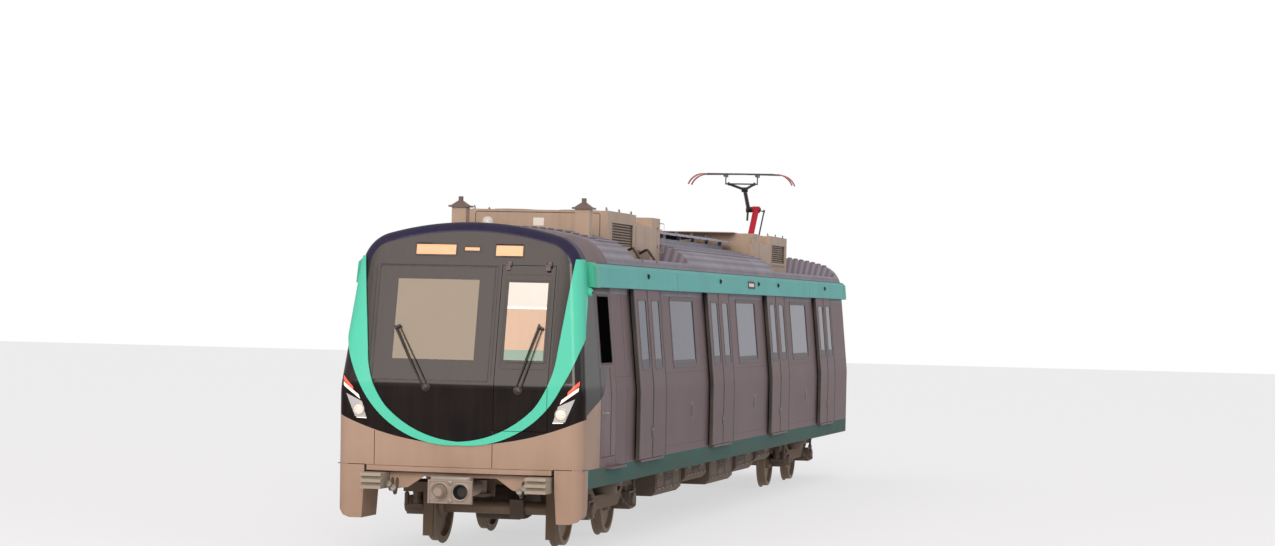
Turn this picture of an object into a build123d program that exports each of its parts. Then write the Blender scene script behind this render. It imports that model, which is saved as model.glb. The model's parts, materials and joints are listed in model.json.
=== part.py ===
from build123d import *
import math
import os

# Metro driving car. Millimetres, +X to the front, +Y to the car's left, +Z up.
# The origin is on the floor line under the middle of the car, between the coupler faces.
os.makedirs("parts", exist_ok=True)

# Overall length and the planes across the car
halfLength = 11170.0        # origin to the tip of the front coupler's cone
noseX = halfLength - 370    # foremost point of the skin, at the crease
rearWallX = 440 - halfLength
endWallThick = 60.0
cabStartX = noseX - 1900    # joint between the saloon body and the cab shell
maskStartX = noseX - 1000   # rear edge of the mask and bumper on the side
cowlStartX = noseX - 750    # rear edge of the cowl on the roof
noseRoomX = noseX - 810     # cuts through the front skin start here

# Body cross-section
sideHalf = 1450.0           # half width below the knee
kneeZ = 1870.0
cantHalf = 1330.0           # half width at the bottom of the cantrail band
cantZ = 3105.0
soleZ = 1020.0              # bottom of the side walls
crownZ = 3840.0
crownRadius = 3670.0
shoulderRadius = 420.0
kneeRadius = 1100.0
wallThick = 60.0
cabWallThick = 40.0
floorZ = 1130.0
ceilingZ = 3300.0
trayTopZ = 3500.0           # roof well floor
trayLowZ = 3050.0           # lower edge of the roof on the side
fitGap = 0.3                # seat clearance of glass, trim and curved faces
moveGap = 6.0               # clearance round a hinged panel

# Nose
bumperFootX = noseX - 38
creaseZ = 1960.0
noseLean = 0.228            # the windscreen leans back by this much for each unit of height
nosePlanRadius = 12000.0
creaseRadius = 400.0
noseEdgeRadius = 140.0
skirtZ = 405.0
smileZ = 1280.0             # lowest point of the mask
smileRadius = 3450.0
cowlInset = 115.0
cowlZ = 3380.0
arcProud = 22.0


def sideY(z):
    # half width of the leaning side at height z
    return sideHalf - (sideHalf - cantHalf) * (z - kneeZ) / (cantZ - kneeZ)


def smileHeight(y):
    return smileZ + smileRadius - math.sqrt(smileRadius ** 2 - y ** 2)


def noseSkinX(y, z):
    # outer skin of the nose away from its rounded edges
    if z > creaseZ:
        frontX = noseX - noseLean * (z - creaseZ)
    else:
        frontX = bumperFootX + (noseX - bumperFootX) * (z - soleZ) / (creaseZ - soleZ)
    ringRadius = frontX - (noseX - nosePlanRadius)
    return noseX - nosePlanRadius + math.sqrt(ringRadius ** 2 - y ** 2)


def block(x0, x1, y0, y1, z0, z1):
    return Pos((x0 + x1) / 2, (y0 + y1) / 2, (z0 + z1) / 2) * Box(abs(x1 - x0), abs(y1 - y0), abs(z1 - z0))


def rod(start, end, radius):
    # round bar from point to point
    run = Vector(*end) - Vector(*start)
    return extrude(Plane(origin=start, z_dir=run) * Circle(radius), run.length)


def crossShaft(x, z, radius, y0, y1):
    # cylinder along Y
    return rod((x, y0, z), (x, y1, z), radius)


def prismX(points, x0, x1):
    # closed outline of (y, z) points, swept along X
    return faceX(make_face(Polyline(*points, close=True)), x0, x1)


def prismY(points, y0, y1):
    # closed outline of (x, z) points, swept along Y
    face = make_face(Polyline(*points, close=True))
    return extrude(Plane((0, y1, 0), x_dir=(1, 0, 0), z_dir=(0, -1, 0)) * face, y1 - y0)


def faceX(face, x0, x1):
    return extrude(Plane((x0, 0, 0), x_dir=(0, 1, 0), z_dir=(1, 0, 0)) * face, x1 - x0)


def mirrored(solid):
    return mirror(solid, about=Plane.XZ)


def bodyFace(inset, lowZ=soleZ):
    # the body's cross-section in (y, z), offset inwards
    slope = (sideHalf - cantHalf) / (cantZ - kneeZ)
    shift = inset * math.sqrt(1 + slope ** 2)
    radius = crownRadius - inset
    centreZ = crownZ - crownRadius
    a = 1 + slope ** 2
    base = sideHalf - shift + slope * (kneeZ - centreZ)
    b = -2 * slope * base
    c = base ** 2 - radius ** 2
    rise = (-b + math.sqrt(b * b - 4 * a * c)) / (2 * a)
    shoulder = (base - slope * rise, centreZ + rise)
    knee = (sideHalf - inset, kneeZ + (inset - shift) / slope)
    foot = (sideHalf - inset, lowZ)
    outline = Polyline((shoulder[0], shoulder[1]), knee, foot, (-foot[0], foot[1]), (-knee[0], knee[1]),
                       (-shoulder[0], shoulder[1]))
    crown = ThreePointArc((-shoulder[0], shoulder[1]), (0, crownZ - inset), shoulder)
    face = make_face(outline + crown)
    shoulders = [v for v in face.vertices() if abs(v.Y - shoulder[1]) < 1]
    face = fillet(shoulders, shoulderRadius - inset)
    knees = [v for v in face.vertices() if abs(v.Y - knee[1]) < 1]
    return fillet(knees, kneeRadius)


def noseEnvelope(inset, lowZ):
    # the cab's outer form: leaning front with a round plan, cut to the body's section, edges rounded
    pivotX = noseX - nosePlanRadius
    tilt = (noseX - bumperFootX) / (creaseZ - soleZ)
    topZ = 4200.0
    backX = cabStartX - 1200 - pivotX
    points = [(backX, lowZ), (noseX - tilt * (creaseZ - lowZ) - inset - pivotX, lowZ),
              (noseX - inset - pivotX, creaseZ), (noseX - noseLean * (topZ - creaseZ) - inset - pivotX, topZ),
              (backX, topZ)]
    face = make_face(Polyline(*points, close=True))
    face = fillet([v for v in face.vertices() if abs(v.Y - creaseZ) < 1], creaseRadius)
    spread = 11.0
    ring = revolve(Plane.XZ * face, Axis.Z, revolution_arc=2 * spread)
    ring = Pos(pivotX, 0, 0) * Rot(0, 0, -spread) * ring
    body = ring & faceX(bodyFace(inset, lowZ), cabStartX, noseX + 400)
    body = body.solids()[0]
    rim = []
    for edge in body.edges():
        middle = edge @ 0.5
        onFront = middle.X > cowlStartX and middle.Z > lowZ + 1
        if onFront and not (abs(middle.Y) < 5 and middle.Z < 3000):
            rim.append(edge)
    return fillet(rim, noseEdgeRadius - inset)


def save(name, *pieces):
    # one file for each sub-part, holding its separate solids
    solids = []
    for piece in pieces:
        solids.extend(piece.solids())
    export_step(Compound(children=solids), "parts/" + name + ".step")


# Cab shell, bumper, mask, cowl and the arc round the front
outerNose = noseEnvelope(0, skirtZ)
noseShell = outerNose - noseEnvelope(cabWallThick, skirtZ - 10)

bigY = 2000.0
smileFace = make_face(
    Polyline((-1700, smileHeight(1700)), (-1700, 200), (1700, 200), (1700, smileHeight(1700)))
    + ThreePointArc((1700, smileHeight(1700)), (0, smileZ), (-1700, smileHeight(1700))))
belowSmile = faceX(smileFace, maskStartX, noseX + 200)
# behind the front corner the mask's lower edge sweeps up: distance behind the nose and height
smileSweep = ((260, 1000), (260, 1640), (424, 1684), (660, 1736), (893, 1787), (1000, 1815), (1000, 1000))
belowSmile += prismY([(noseX - back, z) for back, z in smileSweep], -bigY, bigY)
cowlZone = block(cowlStartX, noseX + 200, -bigY, bigY, cowlZ, 4200)
cowlZone -= faceX(bodyFace(cowlInset), cowlStartX, noseX + 200)
backZone = block(cabStartX - 10, maskStartX, -bigY, bigY, soleZ, 4200)
backZone += block(maskStartX, cowlStartX, -bigY, bigY, cowlZ, 4200)

# The skirts hang below the bumper at the two front corners, each with a return plate on its inner side
skirtBackX = noseX - 400
returnBackX = noseX - 740
skirtOutline = [(1700, soleZ), (1120, soleZ), (1125, 800), (1150, skirtZ), (1300, skirtZ), (1380, 430),
                (1440, 500), (1452, 600), (1700, 600)]
skirtZone = prismX(skirtOutline, skirtBackX, noseX + 200)
skirtZone += mirrored(skirtZone)
returnOutline = [(1120, soleZ), (1125, 800), (1150, skirtZ), (1190, skirtZ), (1165, 800), (1160, soleZ)]
skirtReturn = prismX(returnOutline, returnBackX, noseX + 200) & noseEnvelope(1, skirtZ)
bumperZone = block(maskStartX, noseX + 200, -bigY, bigY, soleZ, 2200) & belowSmile


def noseZone(y0, y1, z0, z1, gap=0.0):
    return block(noseRoomX, noseX + 200, y0 + gap, y1 - gap, z0 + gap, z1 - gap)


# Emergency door in the left half of the front
exitY0, exitY1 = 405.0, 1035.0
exitZ0, exitZ1 = 1450.0, 3350.0
exitOpening = noseZone(exitY0, exitY1, exitZ0, exitZ1)
exitPanel = noseZone(exitY0, exitY1, exitZ0, exitZ1, moveGap)
exitPaneY0, exitPaneY1 = 485.0, 975.0
exitPaneZ0, exitPaneZ1 = 2235.0, 3170.0

# Driver's windscreen in the rest of the front
screenY0, screenY1 = -1050.0, 330.0
screenZ0, screenZ1 = 2010.0, 3320.0
paneThick = 14.0

bumper = (noseShell & (bumperZone + skirtZone)) + skirtReturn + mirrored(skirtReturn)
cowl = noseShell & cowlZone
frontZone = block(maskStartX, noseX + 200, -bigY, bigY, soleZ, 4200)
frontSkin = (noseShell & frontZone) - belowSmile - backZone - cowlZone
mask = frontSkin - exitOpening - noseZone(screenY0, screenY1, screenZ0, screenZ1)
exitLeaf = (frontSkin & exitPanel) - noseZone(exitPaneY0, exitPaneY1, exitPaneZ0, exitPaneZ1)

# Hinges on the emergency door's top edge, which let it swing outwards and up
exitHingeX = noseX - 304
exitHingeZ = exitZ1
hingePin = 6.0
for hingeY in (480.0, 950.0):
    for y0, y1 in ((hingeY - 38, hingeY - 26), (hingeY + 26, hingeY + 38)):
        ear = block(exitHingeX - 100, exitHingeX, y0, y1, exitHingeZ, exitHingeZ + 40)
        ear += crossShaft(exitHingeX, exitHingeZ, 12, y0, y1)
        mask += ear - outerNose
    mask += crossShaft(exitHingeX, exitHingeZ, hingePin, hingeY - 38, hingeY + 38)
    knuckle = block(exitHingeX - 80, exitHingeX + 8, hingeY - 25, hingeY + 25,
                    exitHingeZ - 60, exitHingeZ - moveGap)
    knuckle += crossShaft(exitHingeX, exitHingeZ, 12, hingeY - 25, hingeY + 25)
    knuckle -= outerNose
    exitLeaf += knuckle - crossShaft(exitHingeX, exitHingeZ, hingePin + 0.05, hingeY - 30, hingeY + 30)

glassShell = outerNose - noseEnvelope(paneThick, skirtZ - 10)
windscreen = glassShell & noseZone(screenY0, screenY1, screenZ0, screenZ1, fitGap)
exitPane = glassShell & noseZone(exitPaneY0, exitPaneY1, exitPaneZ0, exitPaneZ1, fitGap)

# The arc: a proud band, thin at the bottom and wide where it wraps the upper corners
arcFoot, arcTop = 1275.0, 3430.0
arcEdges = Polyline((1420, 2600), (1700, 2700), (1700, arcTop), (1250, arcTop), (1120, 2350))
arcEdges += ThreePointArc((1120, 2350), (1015, 1935), (876, 1710))
arcEdges += ThreePointArc((876, 1710), (551, 1465), (0, arcFoot + 40))
arcEdges += Line((0, arcFoot + 40), (0, arcFoot))
arcEdges += ThreePointArc((0, arcFoot), (744, 1460), (1190, 1960))
arcEdges += ThreePointArc((1190, 1960), (1325, 2250), (1420, 2600))
arcPrism = faceX(make_face(arcEdges), noseRoomX, noseX + 200)
arcPrism += mirrored(arcPrism)
# distance behind the nose and height of the arc's rear edge on the side
arcRear = ((630, 3500), (625, 3300), (560, 2950), (360, 2650), (240, 2350), (240, 1200),
           (-400, 1200), (-400, 3500))
arcSide = prismY([(noseX - back, z) for back, z in arcRear], -bigY, bigY)
arcBand = (noseEnvelope(-arcProud, soleZ) - noseEnvelope(-fitGap, soleZ - 10)) & arcPrism & arcSide
noseArc = arcBand - exitOpening
exitArc = arcBand & exitPanel

# Cab side doors, hinged at the rear edge and opening inwards
cabDoorX0, cabDoorX1 = cabStartX + 60, maskStartX - 60
cabDoorFrontGap = 14.0
cabDoorZ0, cabDoorZ1 = floorZ + 1, 3080.0
cabDoorWay = block(cabDoorX0 - moveGap, cabDoorX1 + cabDoorFrontGap, -bigY, bigY, cabDoorZ0, cabDoorZ1)
cabShell = (noseShell & backZone) - cabDoorWay
cabDoorStrip = noseShell & block(cabDoorX0, cabDoorX1, -bigY, bigY, cabDoorZ0 + moveGap, cabDoorZ1 - moveGap)
cabWindowX0, cabWindowX1 = cabDoorX0 + 70, cabDoorX1 - 60
cabWindowZ0, cabWindowZ1 = 2220.0, 3030.0
cabDoorLeaf = cabDoorStrip - block(cabWindowX0, cabWindowX1, -bigY, bigY, cabWindowZ0, cabWindowZ1)
cabPane = glassShell & block(cabWindowX0 + fitGap, cabWindowX1 - fitGap, -bigY, bigY,
                             cabWindowZ0 + fitGap, cabWindowZ1 - fitGap)
leftHalf = block(cabStartX - 900, noseX + 1200, 0, bigY, 0, 4500)
cabInside = noseEnvelope(cabWallThick, skirtZ - 10)
cabHingeX, cabHingeY = cabDoorX0 + 15, 1285.0
cabLeafLeft = cabDoorLeaf & leftHalf
for z in (1280.0, 2730.0):
    pinLine = ((cabHingeX, cabHingeY, z - 50), (cabHingeX, cabHingeY, z + 32))
    bracket = block(cabHingeX - 60, cabHingeX, cabHingeY - 12, sideHalf, z - 50, z - 38) & cabInside
    bracket += rod(pinLine[0], (cabHingeX, cabHingeY, z - 38), 22) + rod(*pinLine, 10)
    cabShell += bracket + mirrored(bracket)
    arm = block(cabHingeX - 8, cabHingeX + 16, cabHingeY, sideHalf, z - 20, z + 20) & cabInside
    arm += rod((cabHingeX, cabHingeY, z - 38 + fitGap), (cabHingeX, cabHingeY, z + 32), 22)
    cabLeafLeft += arm - rod((cabHingeX, cabHingeY, z - 60), (cabHingeX, cabHingeY, z + 60), 10 + 0.05)
save("front_bumper", bumper)
save("roof_cowl", cowl)
save("front_mask", mask)
save("emergency_door", exitLeaf)
save("emergency_door_glass", exitPane)
save("windscreen", windscreen)
save("nose_arc", noseArc)
save("emergency_door_arc", exitArc)
save("cab_shell", cabShell)
save("cab_door_left", cabLeafLeft, cabPane & leftHalf)
save("cab_door_right", mirrored(cabLeafLeft), mirrored(cabPane & leftHalf))

# Lamps and route displays
lampFace = noseEnvelope(-8, soleZ) - noseEnvelope(-fitGap, soleZ - 10)
lampOutline = [(1085, 1545), (1255, 1560), (1395, 1830), (1385, 2030), (1285, 1880), (1140, 1740)]
lamps = lampFace & prismX(lampOutline, noseX - 500, noseX + 200)
lampX = noseSkinX(1200, 1653)
lamp = lamps + rod((lampX - 20, 1200, 1653), (lampX + 30, 1200, 1653), 68)
lamp -= noseEnvelope(-fitGap, soleZ - 10)
displays = []
for y0, y1, z0, z1 in ((-640, -150, 3450, 3580), (-60, 130, 3500, 3552), (310, 640, 3445, 3580)):
    displays.extend((lampFace & noseZone(y0, y1, z0, z1)).solids())
save("front_lights", lamp, mirrored(lamp), *displays)

# Wipers: a boss on the skin, an arm and a blade
wiperBossRadius = 28.0
wiperStandoff = 26.0


def wiper(y, z, tipY, tipZ):
    skin = noseSkinX(y, z)
    root = (skin + wiperStandoff, y, z)
    tip = (noseSkinX(tipY, tipZ) + wiperStandoff, tipY, tipZ)
    boss = rod((skin - 30, y, z), (skin + wiperStandoff + 12, y, z), wiperBossRadius)
    boss -= noseEnvelope(-fitGap, soleZ - 10)
    arm = rod(root, tip, 11)
    middle = Vector(*root) + (Vector(*tip) - Vector(*root)) * 0.35
    blade = rod((middle.X - 8, middle.Y, middle.Z), (tip[0] - 8, tipY, tipZ), 9)
    return boss + arm + blade


save("windscreen_wiper", wiper(-390, 1930, -790, 2650))
save("emergency_door_wiper", wiper(690, 1920, 925, 2670))

# Saloon body: doorways, windows and side panels
doorwayHalf = 700.0
firstDoorway = cabStartX - 1950
doorPitch = (firstDoorway - rearWallX - 2680) / 3
doorwayCentres = [firstDoorway - doorPitch * i for i in range(4)]
windowCentres = [centre - doorPitch / 2 - 35 for centre in doorwayCentres[:3]]
windowHalf = 835.0
windowZ0, windowZ1 = 2130.0, 3030.0
wallEndX = rearWallX + endWallThick
sideStrip = faceX(bodyFace(0) - bodyFace(wallThick, soleZ - 10), wallEndX, cabStartX)
leftSide = sideStrip & block(wallEndX, cabStartX, 0, bigY, soleZ, trayLowZ)
for centre in doorwayCentres:
    leftSide -= block(centre - doorwayHalf, centre + doorwayHalf, 0, bigY, soleZ - 5, trayLowZ + 5)
for centre in windowCentres:
    leftSide -= block(centre - windowHalf, centre + windowHalf, 0, bigY, windowZ0, windowZ1)
save("side_wall_left", leftSide)
save("side_wall_right", mirrored(leftSide))

# Window panes, set a little back from the skin
paneSetback = 6.0
paneStrip = faceX(bodyFace(paneSetback) - bodyFace(paneSetback + paneThick, soleZ - 10), wallEndX, cabStartX)
panes = []
for centre in windowCentres:
    pane = paneStrip & block(centre - windowHalf + fitGap, centre + windowHalf - fitGap, 0, bigY,
                             windowZ0 + fitGap, windowZ1 - fitGap)
    panes.extend([pane, mirrored(pane)])
save("side_windows", *panes)

# Rear end wall with the gangway doorway
gangwayHalf = 650.0
gangwayTopZ = 3080.0
endWall = faceX(bodyFace(0), rearWallX, wallEndX)
endWall -= block(rearWallX - 5, wallEndX + 5, -gangwayHalf, gangwayHalf, floorZ, gangwayTopZ)
save("rear_end_wall", endWall)

# Gangway bellows: folded rubber rings round the opening
bellowsReach = 360.0
foldCount = 6
foldPitch = bellowsReach / foldCount
bellows = Part()
for i in range(foldCount):
    x1 = rearWallX - i * foldPitch
    for x0, x2, grow in ((x1 - foldPitch, x1 - foldPitch / 2, 120.0), (x1 - foldPitch / 2, x1, 70.0)):
        ring = RectangleRounded(2 * (gangwayHalf + grow), gangwayTopZ - floorZ + 2 * grow, 160)
        ring -= RectangleRounded(2 * gangwayHalf + 40, gangwayTopZ - floorZ + 40, 110)
        bellows += faceX(Pos(0, (gangwayTopZ + floorZ) / 2) * ring, x0, x2)
save("gangway_bellows", bellows)

# Roof: a tray with the ceiling below it, and three raised ribbed sections
rooftopTray = faceX(bodyFace(0), wallEndX, cabStartX)
rooftopTray &= block(wallEndX, cabStartX, -bigY, bigY, trayLowZ, trayTopZ)
rooftopTray -= faceX(bodyFace(wallThick), wallEndX - 5, cabStartX + 5) & block(
    wallEndX - 5, cabStartX + 5, -bigY, bigY, soleZ, ceilingZ)
save("roof_tray", rooftopTray)

unitFrontX = cabStartX - 1820
unitRearX = rearWallX + 3610
unitParts = (1740.0, 1040.0, 570.0)
midX0 = unitRearX + sum(unitParts) + 120
midX1 = unitFrontX - sum(unitParts) - 280
# start, end and whether the section is ribbed
capSections = ((cabStartX - 1750, cabStartX - 550, True), (cabStartX - 550, cabStartX, False),
               (midX0, midX1, True), (wallEndX, rearWallX + 330, True))
ribPitch = 105.0
ribWidth = 34.0
ribHeight = 20.0
ribCount = 21
capFace = bodyFace(0) & (Pos(0, trayTopZ + 1000) * Rectangle(3200, 2000))
ribFace = Sketch()
crownCentreZ = crownZ - crownRadius
for i in range(ribCount):
    angle = (i - (ribCount - 1) / 2) * ribPitch / crownRadius
    rib = Rectangle(ribWidth, ribHeight + 30)
    place = Pos(0, crownCentreZ) * Rot(0, 0, -math.degrees(angle)) * Pos(0, crownRadius + ribHeight / 2 - 15)
    ribFace += place * rib
ribbedFace = capFace + ribFace
caps = [faceX(ribbedFace if ribbed else capFace, x0, x1) for x0, x1, ribbed in capSections]
save("roof_sections", caps[0] + caps[1], *caps[2:])

# Cantrail bands over the doors and sole bands along the floor
bandFrontX, bandRearX = noseX - 650, rearWallX + 130
bandLowZ, bandTopZ = 3120.0, 3400.0
bandProud = 95.0
bandSkin = 25.0
bandOutline = [(sideY(bandLowZ) + bandProud - bandSkin, bandLowZ), (sideY(bandLowZ) + bandProud, bandLowZ),
               (sideY(3355) + bandProud, 3355), (sideY(bandTopZ) + 45, bandTopZ),
               (sideY(bandTopZ) - 40, bandTopZ), (sideY(3375) - 40, 3375), (sideY(3375) + 40, 3375),
               (sideY(3340) + bandProud - bandSkin, 3340)]
band = prismX(bandOutline, bandRearX, bandFrontX) - faceX(bodyFace(0), bandRearX - 5, bandFrontX + 5)
bandEnd = [(sideY(bandLowZ) - 20, bandLowZ), (sideY(bandLowZ) + bandProud - bandSkin, bandLowZ),
           (sideY(3340) + bandProud - bandSkin, 3340), (sideY(3375) + 40, 3375), (sideY(3375) - 20, 3375)]
for x0, x1 in ((bandRearX, bandRearX + 20), (bandFrontX - 20, bandFrontX)):
    band += prismX(bandEnd, x0, x1) - faceX(bodyFace(0), x0 - 5, x1 + 5)
save("cantrail_bands", band, mirrored(band))

soleBandProud = 30.0
sillOutY = sideHalf - soleBandProud
soleBandLowZ = 800.0
soleBand = block(rearWallX, skirtBackX - fitGap, sillOutY, sideHalf, soleBandLowZ, soleZ)
save("sole_bands", soleBand, mirrored(soleBand))

# Underframe: floor, side sills, cross members, bolsters, headstock and coupler carrier
bogieCentre = cabStartX - 1400
halfWheelbase = 1200.0
wheelTread = 430.0
flangeRadius = 458.0
axleZ = flangeRadius
sillLowZ = 880.0
sillIn = 1290.0
floorFrontX = noseX - 320
crossLowZ = 920.0
bolsterLowZ = 900.0
couplerZ = 757.0
pinRadius = 80.0
runningFit = 0.05
innerHalf = sideHalf - wallThick
axles = [s * bogieCentre + t * halfWheelbase for s in (1, -1) for t in (1, -1)]
underframe = block(wallEndX, cabStartX, -innerHalf, innerHalf, soleZ, floorZ)
cabFloorHalf = sideHalf - cabWallThick - 2
underframe += block(cabStartX, floorFrontX, -cabFloorHalf, cabFloorHalf, soleZ, floorZ)
for side in (1, -1):
    underframe += block(rearWallX, floorFrontX - 180, side * sillIn, side * sillOutY, sillLowZ, soleZ)
memberCount = 23
memberX0 = rearWallX + 380
memberPitch = (cabStartX + 550 - memberX0) / (memberCount - 1)
memberHalf = 35.0
for i in range(memberCount):
    x = memberX0 + i * memberPitch
    offAxle = min(abs(x - axle) for axle in axles)
    offBolster = min(abs(x - s * bogieCentre) for s in (1, -1))
    if offAxle > flangeRadius + memberHalf and offBolster > 400:
        underframe += block(x - memberHalf, x + memberHalf, -sillIn, sillIn, crossLowZ, soleZ)
transomTopZ = 600.0
for s in (1, -1):
    underframe += block(s * bogieCentre - 260, s * bogieCentre + 260, -sillIn, sillIn, bolsterLowZ, soleZ)
    underframe += rod((s * bogieCentre, 0, 470), (s * bogieCentre, 0, bolsterLowZ), pinRadius)
headstockLowZ = 940.0
underframe += block(floorFrontX - 180, floorFrontX + 20, -1050, 1050, headstockLowZ, soleZ)
underframe += block(floorFrontX, floorFrontX + 180, -1050, 1050, headstockLowZ, soleZ - 5)
headX = halfLength - 90
couplerPivotX = headX - 1380
carrierBackX = couplerPivotX - 150
carrierFrontX = couplerPivotX + 110
couplerPinRadius = 40.0
earHalf = 75.0
underframe += block(carrierBackX, carrierFrontX, -150, 150, couplerZ + 93, soleZ)
underframe += block(carrierBackX, carrierBackX + 45, -150, 150, couplerZ - 120, couplerZ + 93)
underframe += block(carrierBackX + 45, carrierFrontX, -110, 110, couplerZ - 120, couplerZ - 80)
underframe += rod((couplerPivotX, 0, couplerZ - 80), (couplerPivotX, 0, couplerZ + 93), couplerPinRadius)
barX0, barX1 = rearWallX + 730, rearWallX + 170
underframe += block(barX1, barX0, -160, 160, couplerZ - 110, soleZ)
save("underframe", underframe)

# Anti-climbers: ribbed steel blocks on the headstock
climberX = noseX + 190
climberRibs = 3
climberZ0, climberZ1 = 758.0, headstockLowZ
ribStep = (climberZ1 - climberZ0) / (2 * climberRibs - 1)
climber = block(floorFrontX - 180, climberX - 60, 844, 1090, climberZ0, climberZ1)
for i in range(climberRibs):
    ribZ = climberZ0 + 2 * i * ribStep
    climber += block(climberX - 60, climberX, 844, 1090, ribZ, ribZ + ribStep)
save("anti_climbers", climber, mirrored(climber))

# Front coupler: pivot eye, shank, head with cone and cup, electric box on top
eye = rod((couplerPivotX, 0, couplerZ - earHalf), (couplerPivotX, 0, couplerZ + earHalf), 85)
eyeLow, eyeHigh = (couplerPivotX, 0, couplerZ - 90), (couplerPivotX, 0, couplerZ + 90)
eye -= rod(eyeLow, eyeHigh, couplerPinRadius + runningFit)
shank = rod((couplerPivotX + 60, 0, couplerZ), (headX - 210, 0, couplerZ), 62)
shank -= rod(eyeLow, eyeHigh, 80)
coupler = eye + shank
coupler += rod((couplerPivotX + 280, 0, couplerZ), (couplerPivotX + 720, 0, couplerZ), 95)
coupler += block(headX - 220, headX - 35, -170, 170, couplerZ - 120, couplerZ + 120)
coupler += block(headX - 35, headX, -260, 260, couplerZ - 135, couplerZ + 135)
coneFace = Plane((headX, -120, couplerZ), x_dir=(0, 1, 0), z_dir=(1, 0, 0))
coupler += extrude(coneFace * Circle(78), halfLength - headX, taper=18)
cupFace = Plane((headX - 90, 120, couplerZ), x_dir=(0, 1, 0), z_dir=(1, 0, 0))
coupler -= extrude(cupFace * Circle(62), 100, taper=-14)
coupler += block(headX - 150, headX - 5, -230, 230, couplerZ + 120, couplerZ + 172)
save("coupler", coupler)

# Rear drawbar with its round flange
drawbar = rod((barX1, 0, couplerZ), (-halfLength + 30, 0, couplerZ), 70)
flangePlane = Plane((-halfLength, 0, couplerZ), x_dir=(0, 1, 0), z_dir=(1, 0, 0))
flange = extrude(flangePlane * Circle(150), 30)
flangeHoleCircle = 120.0
for i in range(4):
    a = math.radians(45 + 90 * i)
    hole = flangePlane * Pos(flangeHoleCircle * math.cos(a), flangeHoleCircle * math.sin(a)) * Circle(13)
    flange -= extrude(hole, 30)
save("rear_drawbar", drawbar + flange)

# Bogies: frame, springs and axle boxes, drives and brakes, wheelsets
beamIn, beamOut = 880.0, 1060.0
beamTopZ, beamEndLowZ, beamMidLowZ = 760.0, 640.0, 430.0
beamEnd, beamRise, beamFlat = 1650.0, 1000.0, 700.0
journalRadius = 65.0
axleRadius = 80.0
journalStart, journalEnd = 870.0, 1150.0
boxIn, boxOut = 890.0, 1120.0
springOffset = 178.0
springY = (beamIn + beamOut) / 2
airSpringRadius = 270.0
airSpringY = 970.0
wheelBack, wheelFace = 680.0, 815.0
flangeWidth = 32.0


def bogieFrame(centre, guarded):
    beam = [(-beamEnd, beamTopZ), (-beamRise, beamTopZ), (-beamFlat, transomTopZ), (beamFlat, transomTopZ),
            (beamRise, beamTopZ), (beamEnd, beamTopZ), (beamEnd, beamEndLowZ), (beamRise - 50, beamEndLowZ),
            (beamFlat - 60, beamMidLowZ), (60 - beamFlat, beamMidLowZ), (50 - beamRise, beamEndLowZ),
            (-beamEnd, beamEndLowZ)]
    side = prismY(beam, beamIn, beamOut)
    frame = side + mirrored(side) + block(-180, 180, -beamIn, beamIn, beamMidLowZ, transomTopZ)
    frame -= rod((0, 0, beamMidLowZ - 5), (0, 0, transomTopZ + 5), pinRadius + runningFit)
    if guarded:
        for y in (-1, 1):
            guard = block(beamEnd, beamEnd + 70, y * beamIn, y * beamOut, beamEndLowZ, beamTopZ)
            guard += block(beamEnd + 40, beamEnd + 70, y * 690, y * beamOut, beamEndLowZ, beamTopZ)
            guard += block(beamEnd + 40, beamEnd + 70, y * 690, y * 810, 120, beamTopZ)
            frame += guard
    return Pos(centre, 0, 0) * frame


def bogieSprings(centre):
    # axle boxes on their journals, primary springs and air springs
    solids = []
    for x in (-halfWheelbase, halfWheelbase):
        box = block(x - 130, x + 130, boxIn, boxOut, axleZ - 110, axleZ + 110)
        box += block(x - springOffset - 70, x + springOffset + 70, boxIn, boxOut - 60, axleZ - 30, axleZ + 20)
        box -= crossShaft(x, axleZ, journalRadius + runningFit, boxIn - 5, boxOut + 5)
        for springX in (x - springOffset, x + springOffset):
            for z0, z1, r in ((20, 80, 62), (80, 132, 50), (132, beamEndLowZ - axleZ, 62)):
                box += rod((springX, springY, axleZ + z0), (springX, springY, axleZ + z1), r)
        solids.extend([box, mirrored(box)])
    cushion = rod((0, airSpringY, transomTopZ), (0, airSpringY, 700), airSpringRadius - 60)
    cushion += rod((0, airSpringY, 700), (0, airSpringY, 860), airSpringRadius)
    cushion += rod((0, airSpringY, 860), (0, airSpringY, bolsterLowZ - fitGap), airSpringRadius - 90)
    solids.extend([cushion, mirrored(cushion)])
    return [Pos(centre, 0, 0) * solid for solid in solids]


def bogieDrives(centre):
    # a motor and gearbox for each axle, and a brake unit at each wheel
    solids = []
    for turn in (1, -1):
        motor = crossShaft(520, 480, 210, -430, 90) + crossShaft(520, 480, 75, 90, 150)
        motor += block(180, 340, -330, 30, 440, 560)
        gearOutline = [(420, 400), (1080, 330), (1290, 330), (1330, 560), (1130, 620), (500, 590), (420, 540)]
        gear = prismY(gearOutline, 150, 320)
        drive = motor + gear - crossShaft(halfWheelbase, axleZ, axleRadius + runningFit, 140, 330)
        solids.append(Rot(0, 0, 0 if turn == 1 else 180) * drive)
        brake = block(700, 762, 725, 800, 380, 540) + block(640, 740, 740, beamIn, 440, 500)
        for side in (1, -1):
            unit = brake if side == 1 else mirrored(brake)
            solids.append(unit if turn == 1 else mirror(unit, about=Plane.YZ))
    return [Pos(centre, 0, 0) * solid for solid in solids]


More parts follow.
